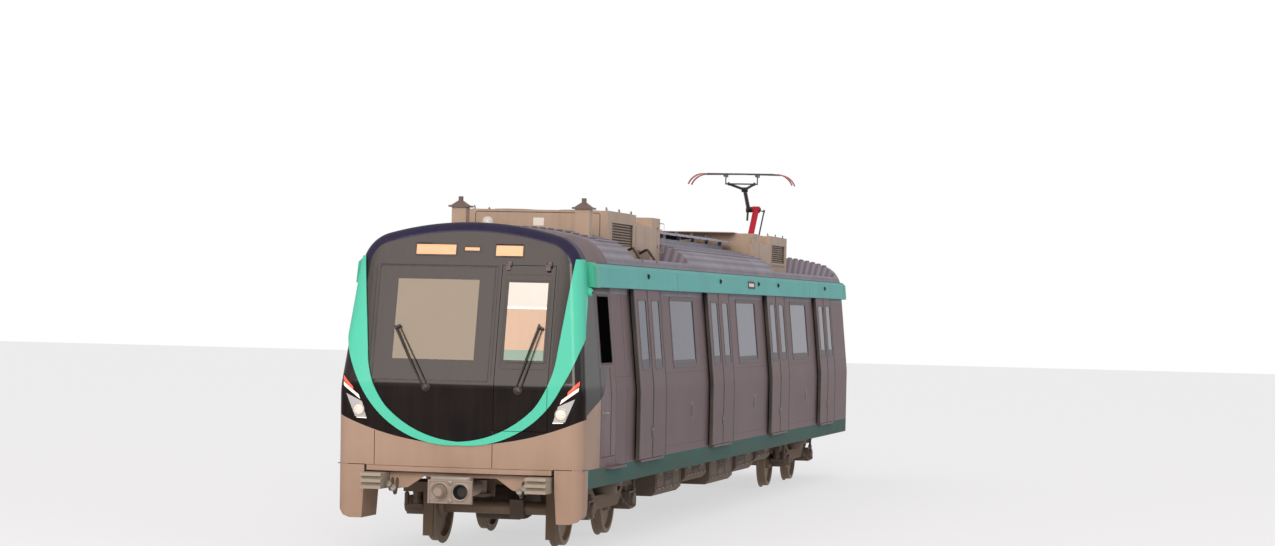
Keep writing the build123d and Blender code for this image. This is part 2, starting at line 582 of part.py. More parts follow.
def wheelset(x):
    # radius and distance from the middle, from the hub's back round the tread to the hub's front
    wheel = [(axleRadius, 665), (130, 665), (150, 720), (350, 735), (375, wheelBack),
             (flangeRadius - 8, wheelBack), (flangeRadius, wheelBack + 12),
             (flangeRadius - 4, wheelBack + flangeWidth - 6), (wheelTread, wheelBack + flangeWidth + 8),
             (wheelTread - 3, wheelFace - 6), (wheelTread - 9, wheelFace), (375, wheelFace), (350, 765),
             (150, 765), (135, 835), (axleRadius, 835)]
    journal = [(axleRadius, journalStart), (journalRadius, journalStart), (journalRadius, journalEnd)]
    half = [(0, 0), (axleRadius, 0)] + wheel + journal + [(0, journalEnd)]
    face = make_face(Polyline(*half, close=True))
    side = revolve(face, Axis.Y)
    pair = side + mirror(side, about=Plane.XZ)
    return Pos(x, 0, axleZ) * pair


save("bogie_frame_front", bogieFrame(bogieCentre, True))
save("bogie_frame_rear", bogieFrame(-bogieCentre, False))
save("bogie_springs_front", *bogieSprings(bogieCentre))
save("bogie_springs_rear", *bogieSprings(-bogieCentre))
save("bogie_drives_front", *bogieDrives(bogieCentre))
save("bogie_drives_rear", *bogieDrives(-bogieCentre))
for number, x in enumerate(axles):
    save("wheelset_" + str(number + 1), wheelset(x))

# Saloon doors: outside leaves that follow the wall, hung on a rail behind the cantrail band
leafGapIn, leafGapOut = 25.0, 60.0
leafLength = 847.5
leafMeet = 2.5
leafLowZ, leafTopZ = 1035.0, 3210.0
hangerLowZ = 3190.0
leafWindows = ((220.0, 740.0), (1070.0, 1560.0))
leafWindowZ0, leafWindowZ1 = 2130.0, 3000.0
leafZone = block(rearWallX, noseX, 0, bigY, leafLowZ, leafTopZ)
hangerZone = block(rearWallX, noseX, 0, bigY, hangerLowZ + fitGap, leafTopZ)
leafSection = bodyFace(-leafGapOut) - bodyFace(-leafGapIn, soleZ - 10)
hangerSection = bodyFace(-leafGapOut) - bodyFace(-4, soleZ - 10)
leafPaneSection = bodyFace(-leafGapOut + 4) - bodyFace(-leafGapOut + 4 + paneThick, soleZ - 10)


def leaves(fore):
    solids = []
    for centre in doorwayCentres:
        x0 = centre + leafMeet if fore else centre - leafMeet - leafLength
        leaf = faceX(leafSection, x0, x0 + leafLength) & leafZone
        leaf += faceX(hangerSection, x0, x0 + leafLength) & hangerZone
        behind = leafWindows[0] if fore else leafWindows[1]
        frontEdge = centre + leafMeet + leafLength
        windowX0, windowX1 = frontEdge - behind[1], frontEdge - behind[0]
        leaf -= block(windowX0, windowX1, 0, bigY, leafWindowZ0, leafWindowZ1)
        pane = faceX(leafPaneSection, windowX0 + fitGap, windowX1 - fitGap)
        pane &= block(rearWallX, noseX, 0, bigY, leafWindowZ0 + fitGap, leafWindowZ1 - fitGap)
        solids.extend([leaf, pane])
    return solids


for moves, fore in (("fore", True), ("aft", False)):
    leftLeaves = leaves(fore)
    save("doors_left_" + moves, *leftLeaves)
    save("doors_right_" + moves, *[mirrored(leaf) for leaf in leftLeaves])

# Hanger rails, doorway sills, bottom guides and cab steps
railX0, railX1 = rearWallX + 1030, cabStartX - 300
rail = faceX(bodyFace(-18) - bodyFace(0, soleZ - 10), railX0, railX1)
rail &= block(railX0, railX1, 0, bigY, hangerLowZ - 20, hangerLowZ)
tracks = [rail, mirrored(rail)]
guideReach = 65.0
for centre in doorwayCentres:
    sill = block(centre - doorwayHalf + 2, centre + doorwayHalf - 2, innerHalf, sideHalf + 15, 1090, floorZ)
    guide = block(centre - doorwayHalf, centre + doorwayHalf, sideHalf, sideHalf + guideReach,
                  1000, leafLowZ - moveGap)
    tracks.extend([sill, mirrored(sill), guide, mirrored(guide)])
step = block(cabStartX - 250, cabStartX + 550, sideHalf, sideHalf + 90, 995, soleZ)
tracks.extend([step, mirrored(step)])
save("door_tracks", *tracks)

# Roof units: two air-conditioning packages with stepped sloping sides
unitTopZ = 4090.0
unitHalf = 900.0


def roofUnit(frontX, turn):
    # lengths from the end with the grilles
    long, slope, tail = unitParts
    unit = block(0, -long, -unitHalf, unitHalf, trayTopZ, unitTopZ)
    sloped = [(-unitHalf + 60, trayTopZ), (unitHalf - 60, trayTopZ), (unitHalf + 10, 3640),
              (unitHalf + 10, 3950), (680, 4010), (640, unitTopZ - 20), (-640, unitTopZ - 20), (-680, 4010),
              (-unitHalf - 10, 3950), (-unitHalf - 10, 3640)]
    unit += prismX(sloped, -long - slope, -long)
    unit += block(-long - slope - tail, -long - slope, -unitHalf, unitHalf, trayTopZ, unitTopZ)
    for side in (1, -1):
        unit -= block(-long + 180, -230, side * (unitHalf - 25), side * (unitHalf + 5), 3650, 3970)
    if turn:
        unit = mirror(unit, about=Plane.YZ)
    return Pos(frontX, 0, 0) * unit


save("roof_units", roofUnit(unitFrontX, False), roofUnit(unitRearX, True))

# Vent posts with pyramid caps and a knob, and a small aerial dome
postX, postY = cabStartX - 990, 777.0
postHalf = 90.0
postTopZ, postCapZ = 4080.0, 4130.0
roofSolid = faceX(ribbedFace, postX - 400, cabStartX)
post = block(-postHalf, postHalf, -postHalf, postHalf, 3600, postTopZ)
post += block(-postHalf - 35, postHalf + 35, -postHalf - 35, postHalf + 35, postTopZ, postTopZ + 22)
capPlane = Plane((0, 0, postTopZ + 22), z_dir=(0, 0, 1))
capFoot = 2 * postHalf + 20
post += loft([capPlane * Rectangle(capFoot, capFoot), capPlane.offset(58) * Rectangle(60, 60)])
post += rod((0, 0, postTopZ + 80), (0, 0, postTopZ + 134), 30)
post = Pos(postX, postY, 0) * post - roofSolid
save("vent_posts", post, mirrored(post))

# Covers over the middle roof section, on two rails
coverEdgeZ, coverMidZ = 3925.0, 3990.0
coverHalf = 600.0
coverThick = 28.0
coverSlope = (coverMidZ - coverEdgeZ) / coverHalf
coverOutline = [(-coverHalf, coverEdgeZ), (0, coverMidZ), (coverHalf, coverEdgeZ),
                (coverHalf, coverEdgeZ + coverThick), (0, coverMidZ + coverThick),
                (-coverHalf, coverEdgeZ + coverThick)]
coverX0, coverX1 = midX0 + 90, midX1 - 1050
coverJoint = coverX1 - 1120
fittings = prismX(coverOutline, coverJoint + 50, coverX1) + prismX(coverOutline, coverX0, coverJoint - 50)
midRoof = faceX(ribbedFace, midX0 - 50, midX1 + 50)
stayCount = 5
stayPitch = (coverJoint - 200 - (coverX0 + 110)) / (stayCount - 1)
stayPlaces = [coverX0 + 110 + i * stayPitch for i in range(stayCount)] + [coverJoint + 200, coverX1 - 150]
for y in (-430, 430):
    beam = block(coverX0, coverX1, y - 25, y + 25, 3750, 3880) - midRoof
    fittings += beam
    for x in stayPlaces:
        stay = [(y - 25, 3880), (y + 25, 3880), (y + 25, coverMidZ - abs(y + 25) * coverSlope + 5),
                (y - 25, coverMidZ - abs(y - 25) * coverSlope + 5)]
        fittings += prismX(stay, x - 30, x + 30)
cabRoof = noseEnvelope(0, soleZ)
domeX = cabStartX + 400
dome = rod((domeX, -80, 3800), (domeX, -80, 3868), 75)
dome = fillet([e for e in dome.edges() if abs((e @ 0.5).Z - 3868) < 1], 40) - cabRoof
save("roof_fittings", fittings)
save("roof_aerial", dome)

# Pantograph: base, lower arm, upper arm, head and thrust rod, raised
pivotX, pivotZ = rearWallX + 2270, 3850.0
kneeX, kneeArmZ = pivotX - 870, 4633.0
apexX, apexZ = pivotX + 670, 5016.0
baseX0, baseX1 = pivotX - 790, pivotX + 710
armRadius = 52.0
hubRadius = 46.0
pinSize = 20.0
kneeHubHalf = 60.0
eyeHalf = 15.0
branchY = 220.0
armSideY = -133.0
bowTopZ = apexZ + 174
bowHalf = 170.0
rodShift = (-170.0, -20.0)
rodY = 112.0
baseHalfY = 420.0
pivotHalf = 240.0

base = Part()
for x in (baseX0, baseX1):
    for y in (-baseHalfY, baseHalfY):
        for z0, z1, r in ((trayTopZ, 3540, 70), (3540, 3700, 50), (3700, 3740, 65)):
            base += rod((x, y, z0), (x, y, z1), r)
    base += block(x - 40, x + 40, -baseHalfY - 60, baseHalfY + 60, 3740, 3800)
for y in (-baseHalfY, baseHalfY):
    base += block(baseX0, baseX1, y - 30, y + 30, 3740, 3800)
base += block(pivotX - 90, pivotX + 90, -baseHalfY, baseHalfY, 3740, 3790)
for side in (1, -1):
    ear = block(pivotX - 55, pivotX + 55, side * (pivotHalf + 5), side * (pivotHalf + 35), 3790, pivotZ + 50)
    base += ear
base += crossShaft(pivotX, pivotZ, pinSize, -pivotHalf - 35, pivotHalf + 35)
rodBaseX, rodBaseZ = pivotX + rodShift[0], pivotZ + rodShift[1]
base += block(rodBaseX - 30, pivotX - 90, rodY - 45, rodY - 25, 3740, 3790)
base += block(rodBaseX - 30, rodBaseX + 30, rodY - 45, rodY - 25, 3740, rodBaseZ + 30)
base += crossShaft(rodBaseX, rodBaseZ, 10, rodY - 45, rodY + 16)
raiserX = pivotX + 360
base += block(raiserX, baseX1, -60, 60, 3740, 3800) + block(raiserX, raiserX + 120, -90, 90, 3800, 3900)
save("pantograph_base", base)

lowerArm = crossShaft(pivotX, pivotZ, hubRadius, -pivotHalf, pivotHalf)
lowerArm += rod((pivotX, 0, pivotZ), (kneeX, 0, kneeArmZ), armRadius)
lowerArm += crossShaft(kneeX, kneeArmZ, 58, -kneeHubHalf, kneeHubHalf)
lowerArm -= crossShaft(pivotX, pivotZ, pinSize + runningFit, -pivotHalf - 5, pivotHalf + 5)
lowerArm -= crossShaft(kneeX, kneeArmZ, pinSize + runningFit, -kneeHubHalf - 40, kneeHubHalf + 40)
save("pantograph_lower_arm", lowerArm)

armLength = math.hypot(apexX - kneeX, apexZ - kneeArmZ)
alongX, alongZ = (apexX - kneeX) / armLength, (apexZ - kneeArmZ) / armLength


def onUpperArm(distance, y):
    return (kneeX + alongX * distance, y, kneeArmZ + alongZ * distance)


rodEndX, rodEndZ = kneeX + rodShift[0], kneeArmZ + rodShift[1]
upperArm = rod((kneeX, armSideY, kneeArmZ), onUpperArm(armLength - 345, 0), 34)
upperArm += rod(onUpperArm(armLength - 345, -50), onUpperArm(armLength - 345, 50), 42)
upperArm += crossShaft(kneeX, kneeArmZ, 50, armSideY - 40, -kneeHubHalf - 10)
upperArm += crossShaft(kneeX, kneeArmZ, 36, kneeHubHalf + 5, kneeHubHalf + 20)
upperArm += rod((kneeX, armSideY - 10, kneeArmZ), (kneeX + 55, armSideY - 10, kneeArmZ - 190), 18)
for y in (-1, 1):
    upperArm += rod(onUpperArm(armLength - 345, 0), onUpperArm(armLength, y * branchY), 22)
    upperArm += crossShaft(apexX, apexZ, 28, y * (branchY - eyeHalf), y * (branchY + eyeHalf))
upperArm += crossShaft(kneeX, kneeArmZ, pinSize, armSideY, kneeHubHalf + 20)
upperArm += rod((kneeX, kneeHubHalf + 12.5, kneeArmZ), (rodEndX, kneeHubHalf + 12.5, rodEndZ), 7)
upperArm += crossShaft(rodEndX, rodEndZ, 10, kneeHubHalf + 5, rodY - 20)
upperArm -= crossShaft(apexX, apexZ, 12 + runningFit, -branchY - 40, branchY + 40)
save("pantograph_upper_arm", upperArm)

thrustRod = rod((rodBaseX, rodY, rodBaseZ), (rodEndX, rodY, rodEndZ), 13)
for x, z in ((rodBaseX, rodBaseZ), (rodEndX, rodEndZ)):
    thrustRod += crossShaft(x, z, 24, rodY - 14, rodY + 14)
thrustRod -= crossShaft(rodBaseX, rodBaseZ, 10 + runningFit, rodY - 20, rodY + 20)
thrustRod -= crossShaft(rodEndX, rodEndZ, 10 + runningFit, rodY - 20, rodY + 20)
save("pantograph_thrust_rod", thrustRod)

headShaftHalf = 270.0
# (y, distance below the top) round one half of a bow
bowEdges = Polyline((660, -24), (0, -15), (0, 0), (660, -6))
bowEdges += ThreePointArc((660, -6), (800, -62), (894, -190))
bowEdges += Line((894, -190), (876, -196))
bowEdges += ThreePointArc((876, -196), (787, -80), (660, -24))
bow = Pos(0, 0, bowTopZ) * faceX(make_face(bowEdges), 0, 42)
bow += mirrored(bow)
head = crossShaft(apexX, apexZ, 12, -headShaftHalf, headShaftHalf)
for x in (-bowHalf, bowHalf - 42):
    head += Pos(apexX + x, 0, 0) * bow
for y in (-headShaftHalf, headShaftHalf):
    head += block(apexX - 14, apexX + 14, y - 8, y + 8, apexZ - 14, bowTopZ - 60)
    head += block(apexX - bowHalf, apexX + bowHalf, y - 12, y + 12, bowTopZ - 60, bowTopZ - 13)
save("pantograph_head", head)

# Equipment under the floor, between the bogies
caseHalf = 1150.0
caseTopZ = crossLowZ
# rear end and front end as shares of the bogie's distance, and the bottom, of each case
caseTable = ((0.42, 0.6533, 430), (0.1667, 0.38, 520), (-0.12, 0.1333, 400), (-0.36, -0.16, 480),
             (-0.5733, -0.4, 560))
cases = []
for share0, share1, lowZ in caseTable:
    x0, x1 = share0 * bogieCentre, share1 * bogieCentre
    cut = 60
    caseOutline = [(-caseHalf, caseTopZ), (-caseHalf, lowZ + cut), (cut - caseHalf, lowZ),
                   (caseHalf - cut, lowZ), (caseHalf, lowZ + cut), (caseHalf, caseTopZ)]
    cases.append(prismX(caseOutline, x0, x1))
for x in (-0.62 * bogieCentre, -0.6773 * bogieCentre):
    tank = crossShaft(x, 700, 165, -700, 700)
    tank += block(x - 30, x + 30, -520, -460, 840, soleZ) + block(x - 30, x + 30, 460, 520, 840, soleZ)
    cases.append(tank)
save("underfloor_equipment", *cases)

# Interior: benches, grab rails, cab partition with its door, desk and driver's seat
benchIn = 930.0
bayStart = doorwayHalf + 150
benchSpans = [(centre - bayStart, centre - doorPitch + bayStart) for centre in doorwayCentres[:3]]
benchSpans.append((doorwayCentres[3] - bayStart, wallEndX + 100))
benchOutline = [(benchIn + 140, floorZ), (innerHalf, floorZ), (innerHalf, 1790), (innerHalf - 50, 1790),
                (innerHalf - 90, 1590), (benchIn, 1575), (benchIn, 1515), (benchIn + 140, 1490)]
benches = []
for x1, x0 in benchSpans:
    bench = prismX(benchOutline, x0, x1)
    benches.extend([bench, mirrored(bench)])
save("benches", *benches)

poleRadius = 17.5
poles = []
for x1, x0 in benchSpans:
    hoop = rod((x0 - 60, benchIn - 60, 2960), (x1 + 60, benchIn - 60, 2960), poleRadius)
    for x in (x0 - 60, (x0 + x1) / 2, x1 + 60):
        hoop += rod((x, benchIn - 60, floorZ), (x, benchIn - 60, ceilingZ), poleRadius)
    poles.extend([hoop, mirrored(hoop)])
save("grab_rails", *poles)

partitionX0, partitionX1 = cabStartX - 100, cabStartX - 60
partitionDoorHalf = 330.0
partitionDoorTop = 3080.0
partition = faceX(bodyFace(wallThick + fitGap), partitionX0, partitionX1)
partition &= block(partitionX0, partitionX1, -bigY, bigY, floorZ, ceilingZ)
partition -= block(partitionX0 - 5, partitionX1 + 5, -partitionDoorHalf, partitionDoorHalf,
                   floorZ, partitionDoorTop)
partitionLeaf = block(partitionX0, partitionX1, -partitionDoorHalf + moveGap, partitionDoorHalf - moveGap,
                      floorZ + moveGap, partitionDoorTop - moveGap)
insideHingeX = partitionX0 - 16
insideHingeY = -partitionDoorHalf + 3
insideHinge = Pos(insideHingeX, insideHingeY, 0)
for z in (1400.0, 2800.0):
    ear = rod((0, 0, z - 40), (0, 0, z - 28), 9) + block(-9, 16, -18, -4, z - 40, z - 28)
    partition += insideHinge * (ear + rod((0, 0, z - 40), (0, 0, z + 28), 5))
    knuckle = rod((0, 0, z - 28 + fitGap), (0, 0, z + 28), 9)
    knuckle += block(-4, 16, 4, 30, z - 28 + fitGap, z + 28)
    partitionLeaf += insideHinge * (knuckle - rod((0, 0, z - 50), (0, 0, z + 50), 5 + runningFit))
save("cab_partition", partition)
save("partition_door", partitionLeaf)

# distance behind the nose and height round the desk
deskTable = ((240, floorZ), (240, 1880), (500, 1900), (780, 1830), (780, 1790), (570, 1740), (570, floorZ))
save("driver_desk", prismY([(noseX - back, z) for back, z in deskTable], -1250, 330))
seatX, seatY = noseX - 1300, -120.0
seat = rod((0, 0, floorZ), (0, 0, 1540), 60) + block(-200, 200, -200, 200, floorZ, floorZ + 25)
seat += block(-230, 230, -230, 230, 1540, 1640)
seat += prismY([(-230, 1640), (-130, 1640), (-200, 2280), (-280, 2280)], -220, 220)
save("driver_seat", Pos(seatX, seatY, 0) * seat)
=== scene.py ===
import json
import math

import bmesh
import bpy
from mathutils import Matrix, Vector
from mathutils.bvhtree import BVHTree


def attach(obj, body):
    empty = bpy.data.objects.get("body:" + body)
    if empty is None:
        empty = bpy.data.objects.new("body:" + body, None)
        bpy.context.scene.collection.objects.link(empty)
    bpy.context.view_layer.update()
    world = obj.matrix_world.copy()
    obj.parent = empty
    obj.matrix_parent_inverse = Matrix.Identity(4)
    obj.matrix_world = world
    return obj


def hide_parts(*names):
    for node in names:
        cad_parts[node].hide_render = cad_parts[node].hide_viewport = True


# Looks of the metro driving car. Metres, +X to the cab end, +Y the car's left, +Z up.
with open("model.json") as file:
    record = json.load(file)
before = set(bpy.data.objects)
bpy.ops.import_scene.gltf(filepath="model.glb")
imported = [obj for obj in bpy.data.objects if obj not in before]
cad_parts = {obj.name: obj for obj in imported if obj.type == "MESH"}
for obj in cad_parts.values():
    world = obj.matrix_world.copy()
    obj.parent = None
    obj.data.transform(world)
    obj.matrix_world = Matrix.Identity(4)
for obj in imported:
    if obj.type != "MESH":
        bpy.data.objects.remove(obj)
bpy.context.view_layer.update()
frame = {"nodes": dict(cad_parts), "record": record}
nodes = frame["nodes"]
scene = bpy.context.scene

# Camera, fitted to the photo's edges
viewPoint = {"place": (47.733, 9.626, 2.900), "yaw": 0.2022, "pitch": 0.0102, "roll": 0.0229, "lens": 94.258,
             "sensor": 36, "farthest": 400}


def makeCamera():
    yaw, pitch, roll = viewPoint["yaw"], viewPoint["pitch"], viewPoint["roll"]
    ahead = Vector((-math.cos(yaw) * math.cos(pitch), -math.sin(yaw) * math.cos(pitch), math.sin(pitch)))
    right = Vector((-math.sin(yaw), math.cos(yaw), 0))
    above = right.cross(ahead)
    leanRight = right * math.cos(roll) + above * math.sin(roll)
    leanUp = above * math.cos(roll) - right * math.sin(roll)
    camera = bpy.data.objects.new("photoCamera", bpy.data.cameras.new("photoCamera"))
    turn = Matrix((leanRight, leanUp, -ahead)).transposed()
    camera.matrix_world = Matrix.Translation(viewPoint["place"]) @ turn.to_4x4()
    camera.data.lens = viewPoint["lens"]
    camera.data.sensor_width = viewPoint["sensor"]
    camera.data.clip_end = viewPoint["farthest"]
    scene.collection.objects.link(camera)
    scene.camera = camera


makeCamera()
print("camera placed")


# Node trees are written as sums: a Wire is a node's output, and each operation on it adds a Math node
class Wire:
    def __init__(self, socket):
        self.socket, self.tree = socket, socket.id_data

    def __add__(self, other):
        return calc(self.tree, "ADD", self, other)

    def __sub__(self, other):
        return calc(self.tree, "SUBTRACT", self, other)

    def __rsub__(self, other):
        return calc(self.tree, "SUBTRACT", other, self)

    def __mul__(self, other):
        return calc(self.tree, "MULTIPLY", self, other)

    def __truediv__(self, other):
        return calc(self.tree, "DIVIDE", self, other)

    def __pow__(self, other):
        return calc(self.tree, "POWER", self, other)

    def clamped(self):
        self.socket.node.use_clamp = True
        return self


def fill(sockets, values):
    # a wire is linked to its socket, anything else is the socket's value
    for label, value in values.items():
        if isinstance(value, Wire):
            value.tree.links.new(value.socket, sockets[label])
        else:
            sockets[label].default_value = value


def addNode(tree, kind, given, **settings):
    node = tree.nodes.new(kind)
    for label, value in settings.items():
        setattr(node, label, value)
    fill(node.inputs, given)
    return node


def wire(tree, kind, given=None, output=0, **settings):
    return Wire(addNode(tree, kind, given or {}, **settings).outputs[output])


def calc(tree, operation, *values):
    return wire(tree, "ShaderNodeMath", dict(enumerate(values)), operation=operation)


def objectPlace(tree):
    return wire(tree, "ShaderNodeTexCoord", output="Object")


def split(vector):
    return [Wire(socket) for socket in addNode(vector.tree, "ShaderNodeSeparateXYZ", {0: vector}).outputs]


def noise(place, scale, detail, rough):
    return wire(place.tree, "ShaderNodeTexNoise",
                {"Vector": place, "Scale": scale, "Detail": detail, "Roughness": rough}, "Fac")


def stretch(place, amounts):
    return wire(place.tree, "ShaderNodeMapping", {"Vector": place, "Scale": amounts})


def blend(mask, a, b):
    return wire(mask.tree, "ShaderNodeMix", {0: mask, 6: a, 7: b}, 2, data_type="RGBA")


def bump(height, strength, distance):
    return wire(height.tree, "ShaderNodeBump", {"Height": height, "Strength": strength, "Distance": distance})


def rgb(r, g, b):
    # screen colour, 0 to 255, as a linear colour
    def linear(c):
        c = c / 255
        return c / 12.92 if c <= 0.04045 else ((c + 0.055) / 1.055) ** 2.4
    return (linear(r), linear(g), linear(b), 1)


def shaded(colour, factor):
    return tuple(c * factor for c in colour[:3]) + (1,)


# Shader groups shared by the materials
def newGroup(name, outputs, **inputs):
    group = bpy.data.node_groups.new(name, "ShaderNodeTree")
    for label, value in inputs.items():
        group.interface.new_socket(label, in_out="INPUT", socket_type="NodeSocketFloat").default_value = value
    for label in outputs:
        group.interface.new_socket(label, in_out="OUTPUT", socket_type="NodeSocketFloat")
    given = group.nodes.new("NodeGroupInput").outputs
    made = group.nodes.new("NodeGroupOutput").inputs
    return group, objectPlace(group), [Wire(given[label]) for label in inputs], made


def lineDust():
    # brown dust of the line: patches, runs down the walls, more on faces that look up and near the wheels
    group, place, (amount, scale, lowBuildUp), made = newGroup("lineDust", ["Mask"], Amount=0.3, Scale=1.0,
                                                               LowBuildUp=0.5)
    patches = noise(place, scale, 6, 0.6)
    runs = noise(stretch(place, (7, 7, 0.5)), scale, 5, 0.6)
    buildUpTop = 1.3
    low = (1.0 - split(place)[2] / buildUpTop).clamped() * lowBuildUp
    upward = split(wire(group, "ShaderNodeNewGeometry", output="Normal"))[2]
    settled = calc(group, "MAXIMUM", upward, 0.0) * 0.22
    total = patches * 0.6 + runs * 0.6 - 0.52 + low + settled
    fill(made, {"Mask": ((total * 2.6).clamped() * amount).clamped()})
    return group


def sheetGrain():
    # fine lines along the sheet and slight waves between the spot welds
    group, place, (lineScale, waveScale), made = newGroup("sheetGrain", ["Height", "Shade"], Lines=60.0, Waves=1.4)
    lines = noise(stretch(place, (0.35, 6, 6)), lineScale, 3, 0.7)
    waves = noise(stretch(place, (0.6, 1, 1.6)), waveScale, 2, 0.4)
    fill(made, {"Height": lines * 0.12 + waves * 0.9, "Shade": lines * 0.5 + waves * 0.5})
    return group


def paintPeel():
    # the slight orange peel of sprayed paint, with pinhead chips
    group, place, (scale, chips), made = newGroup("paintPeel", ["Height", "Chip"], Scale=90.0, Chips=0.2)
    spots = noise(place, 34.0, 4, 0.75)
    chip = ((spots - 0.68).clamped() * 9.0).clamped() * chips
    fill(made, {"Height": noise(place, scale, 2, 0.5) - chip * 0.6, "Chip": chip})
    return group


def weaveThreads():
    # crossing threads as the product of two waves
    group, place, (threads,), made = newGroup("weaveThreads", ["Height", "Shade"], Threads=420.0)
    x, y, z = split(place)
    warp, weft = (calc(group, "SINE", along * threads) for along in (x + z, y))
    fill(made, {"Height": warp * weft, "Shade": noise(place, 14.0, 5, 0.6)})
    return group


crown = {"centreZ": 0.170, "radius": 3.670, "ribPitch": 0.105, "ribFoot": 0.014}
dustGroup, grainGroup, peelGroup, weaveGroup = lineDust(), sheetGrain(), paintPeel(), weaveThreads()
dustColour, primerColour, bareColour = rgb(128, 108, 88), rgb(110, 106, 100), rgb(120, 112, 104)


def placeGroup(tree, group, **values):
    return [Wire(socket) for socket in addNode(tree, "ShaderNodeGroup", values, node_tree=group).outputs]


def startMaterial(name):
    material = bpy.data.materials.new(name)
    material.use_nodes = True
    return material, material.node_tree, material.node_tree.nodes["Principled BSDF"].inputs


def dustFilm(tree, amount, scale, low):
    return placeGroup(tree, dustGroup, Amount=amount, Scale=scale, LowBuildUp=low)[0]


def paint(name, colour, rough=0.4, metal=0.0, coat=0.0, dust=0.3, low=0.5, chips=0.15, shade=0.12, dustScale=1.2,
          coatIor=1.5):
    # sprayed paint or plastic: colour drifts a little, dust lies over it, chips show the primer
    material, tree, shader = startMaterial(name)
    peel, chip = placeGroup(tree, peelGroup, Scale=120.0, Chips=chips)
    film = dustFilm(tree, dust, dustScale, low)
    base = blend(noise(objectPlace(tree), 0.9, 3, 0.5), shaded(colour, 1 - shade * 2), colour)
    base = blend(chip, base, primerColour)
    fill(shader, {"Base Color": blend(film, base, dustColour), "Roughness": (film * 0.5 + rough).clamped(),
                  "Normal": bump(peel, 0.12, 0.0006)})
    if metal:
        fill(shader, {"Metallic": (metal - film).clamped()})
    if coat:
        facing = wire(tree, "ShaderNodeLayerWeight", {"Blend": 0.5}, "Facing")
        fill(shader, {"Specular IOR Level": 0.02, "Coat Roughness": 0.08, "Coat IOR": coatIor,
                      "Coat Weight": (coat - film).clamped() * (1.0 - facing ** 1.15)})
    return material


def bareSheet(name, colour, rough=0.34, metal=0.85, dust=0.25, low=0.4, waves=0.16, edgeTint=(1, 1, 1, 1)):
    # rolled stainless sheet: lines along the car, slight waves, dust runs
    material, tree, shader = startMaterial(name)
    height, shade = placeGroup(tree, grainGroup, Lines=70.0, Waves=1.5)
    film = dustFilm(tree, dust, 1.1, low)
    base = blend(shade, shaded(colour, 0.80), colour)
    fill(shader, {"Base Color": blend(film, base, dustColour), "Metallic": (metal - film).clamped(),
                  "Roughness": (shade * 0.22 + (rough - 0.1) + film * 0.4).clamped(),
                  "Specular IOR Level": 0.25, "Specular Tint": edgeTint, "Normal": bump(height, waves, 0.004)})
    return material


def rubberLike(name, colour, rough=0.62, dust=0.35, low=0.4):
    # matt rubber with fine pores, patchy in colour
    material, tree, shader = startMaterial(name)
    place = objectPlace(tree)
    pores = noise(place, 260.0, 3, 0.6)
    base = blend(noise(place, 3.0, 4, 0.6), colour, shaded(colour, 1.6))
    fill(shader, {"Base Color": blend(dustFilm(tree, dust, 2.0, low), base, dustColour),
                  "Roughness": (pores * 0.2 + (rough - 0.1)).clamped(), "Normal": bump(pores, 0.2, 0.0008)})
    return material


def pane(name, colour, transmission, rough=0.03, dust=0.1, ior=1.5):
    # laminated glass with a light film of dust
    material, tree, shader = startMaterial(name)
    film = dustFilm(tree, dust, 2.2, 0.0)
    fill(shader, {"Base Color": blend(film, colour, dustColour), "Roughness": (film * 0.4 + rough).clamped(),
                  "Metallic": 0.0, "Transmission Weight": transmission, "IOR": ior})
    return material


def lampGlow(name, colour, strength, dots=0.0):
    # lit lamp or display: strength drifts, and a display has a grid of plain dots
    material, tree, shader = startMaterial(name)
    place = objectPlace(tree)
    light = blend(noise(place, 5.0, 3, 0.5), shaded(colour, 0.7), colour)
    if dots:
        across, upward = (calc(tree, "SINE", along * dots) for along in split(place)[1:])
        grid = (across * upward * 0.35 + 0.65).clamped()
        light = blend(grid, shaded(colour, 0.35), light)
    fill(shader, {"Emission Color": light, "Base Color": light, "Emission Strength": strength, "Roughness": 0.2})
    return material


def ribbedPaint(name, colour, grooveShadeColour):
    # paint on the ribbed roof with painted shade: the grooves between the ribs, which lie round the crown's centre,
    # are darkened to stand for the shade under each rib
    material = paint(name, colour, 0.5, dust=0.35, low=0.0, shade=0.10)
    tree, shader = material.node_tree, material.node_tree.nodes["Principled BSDF"].inputs
    x, y, z = split(objectPlace(tree))
    above = z - crown["centreZ"]
    phase = calc(tree, "ARCTAN2", y, above) * crown["radius"] / crown["ribPitch"]
    off = calc(tree, "PINGPONG", phase, 0.5)
    radial = calc(tree, "SQRT", y ** 2.0 + above ** 2.0)
    low = calc(tree, "LESS_THAN", radial, crown["radius"] + crown["ribFoot"])
    # painted shade: a darker colour in the low grooves
    grooveShade = ((0.42 - off * 0.7).clamped() * 2.2).clamped()
    base = Wire(shader["Base Color"].links[0].from_socket)
    fill(shader, {"Base Color": blend(grooveShade * low, base, grooveShadeColour)})
    return material


def wovenCloth(name, colour, second):
    material, tree, shader = startMaterial(name)
    height, shade = placeGroup(tree, weaveGroup, Threads=900.0)
    fill(shader, {"Base Color": blend(shade, colour, second), "Roughness": 0.85, "Sheen Weight": 0.3,
                  "Normal": bump(height, 0.4, 0.0008)})
    return material


def hornedArm(name, colour, endColour, endStart):
    # the head is black, and its horns are red outside endStart
    material, tree, shader = startMaterial(name)
    place = objectPlace(tree)
    outer = calc(tree, "GREATER_THAN", calc(tree, "ABSOLUTE", split(place)[1]), endStart)
    worn = noise(place, 24.0, 5, 0.7)
    base = blend(((worn - 0.6).clamped() * 3.0).clamped(), blend(outer, colour, endColour), bareColour)
    fill(shader, {"Base Color": base, "Roughness": 0.45, "Normal": bump(worn, 0.15, 0.0008)})
    return material


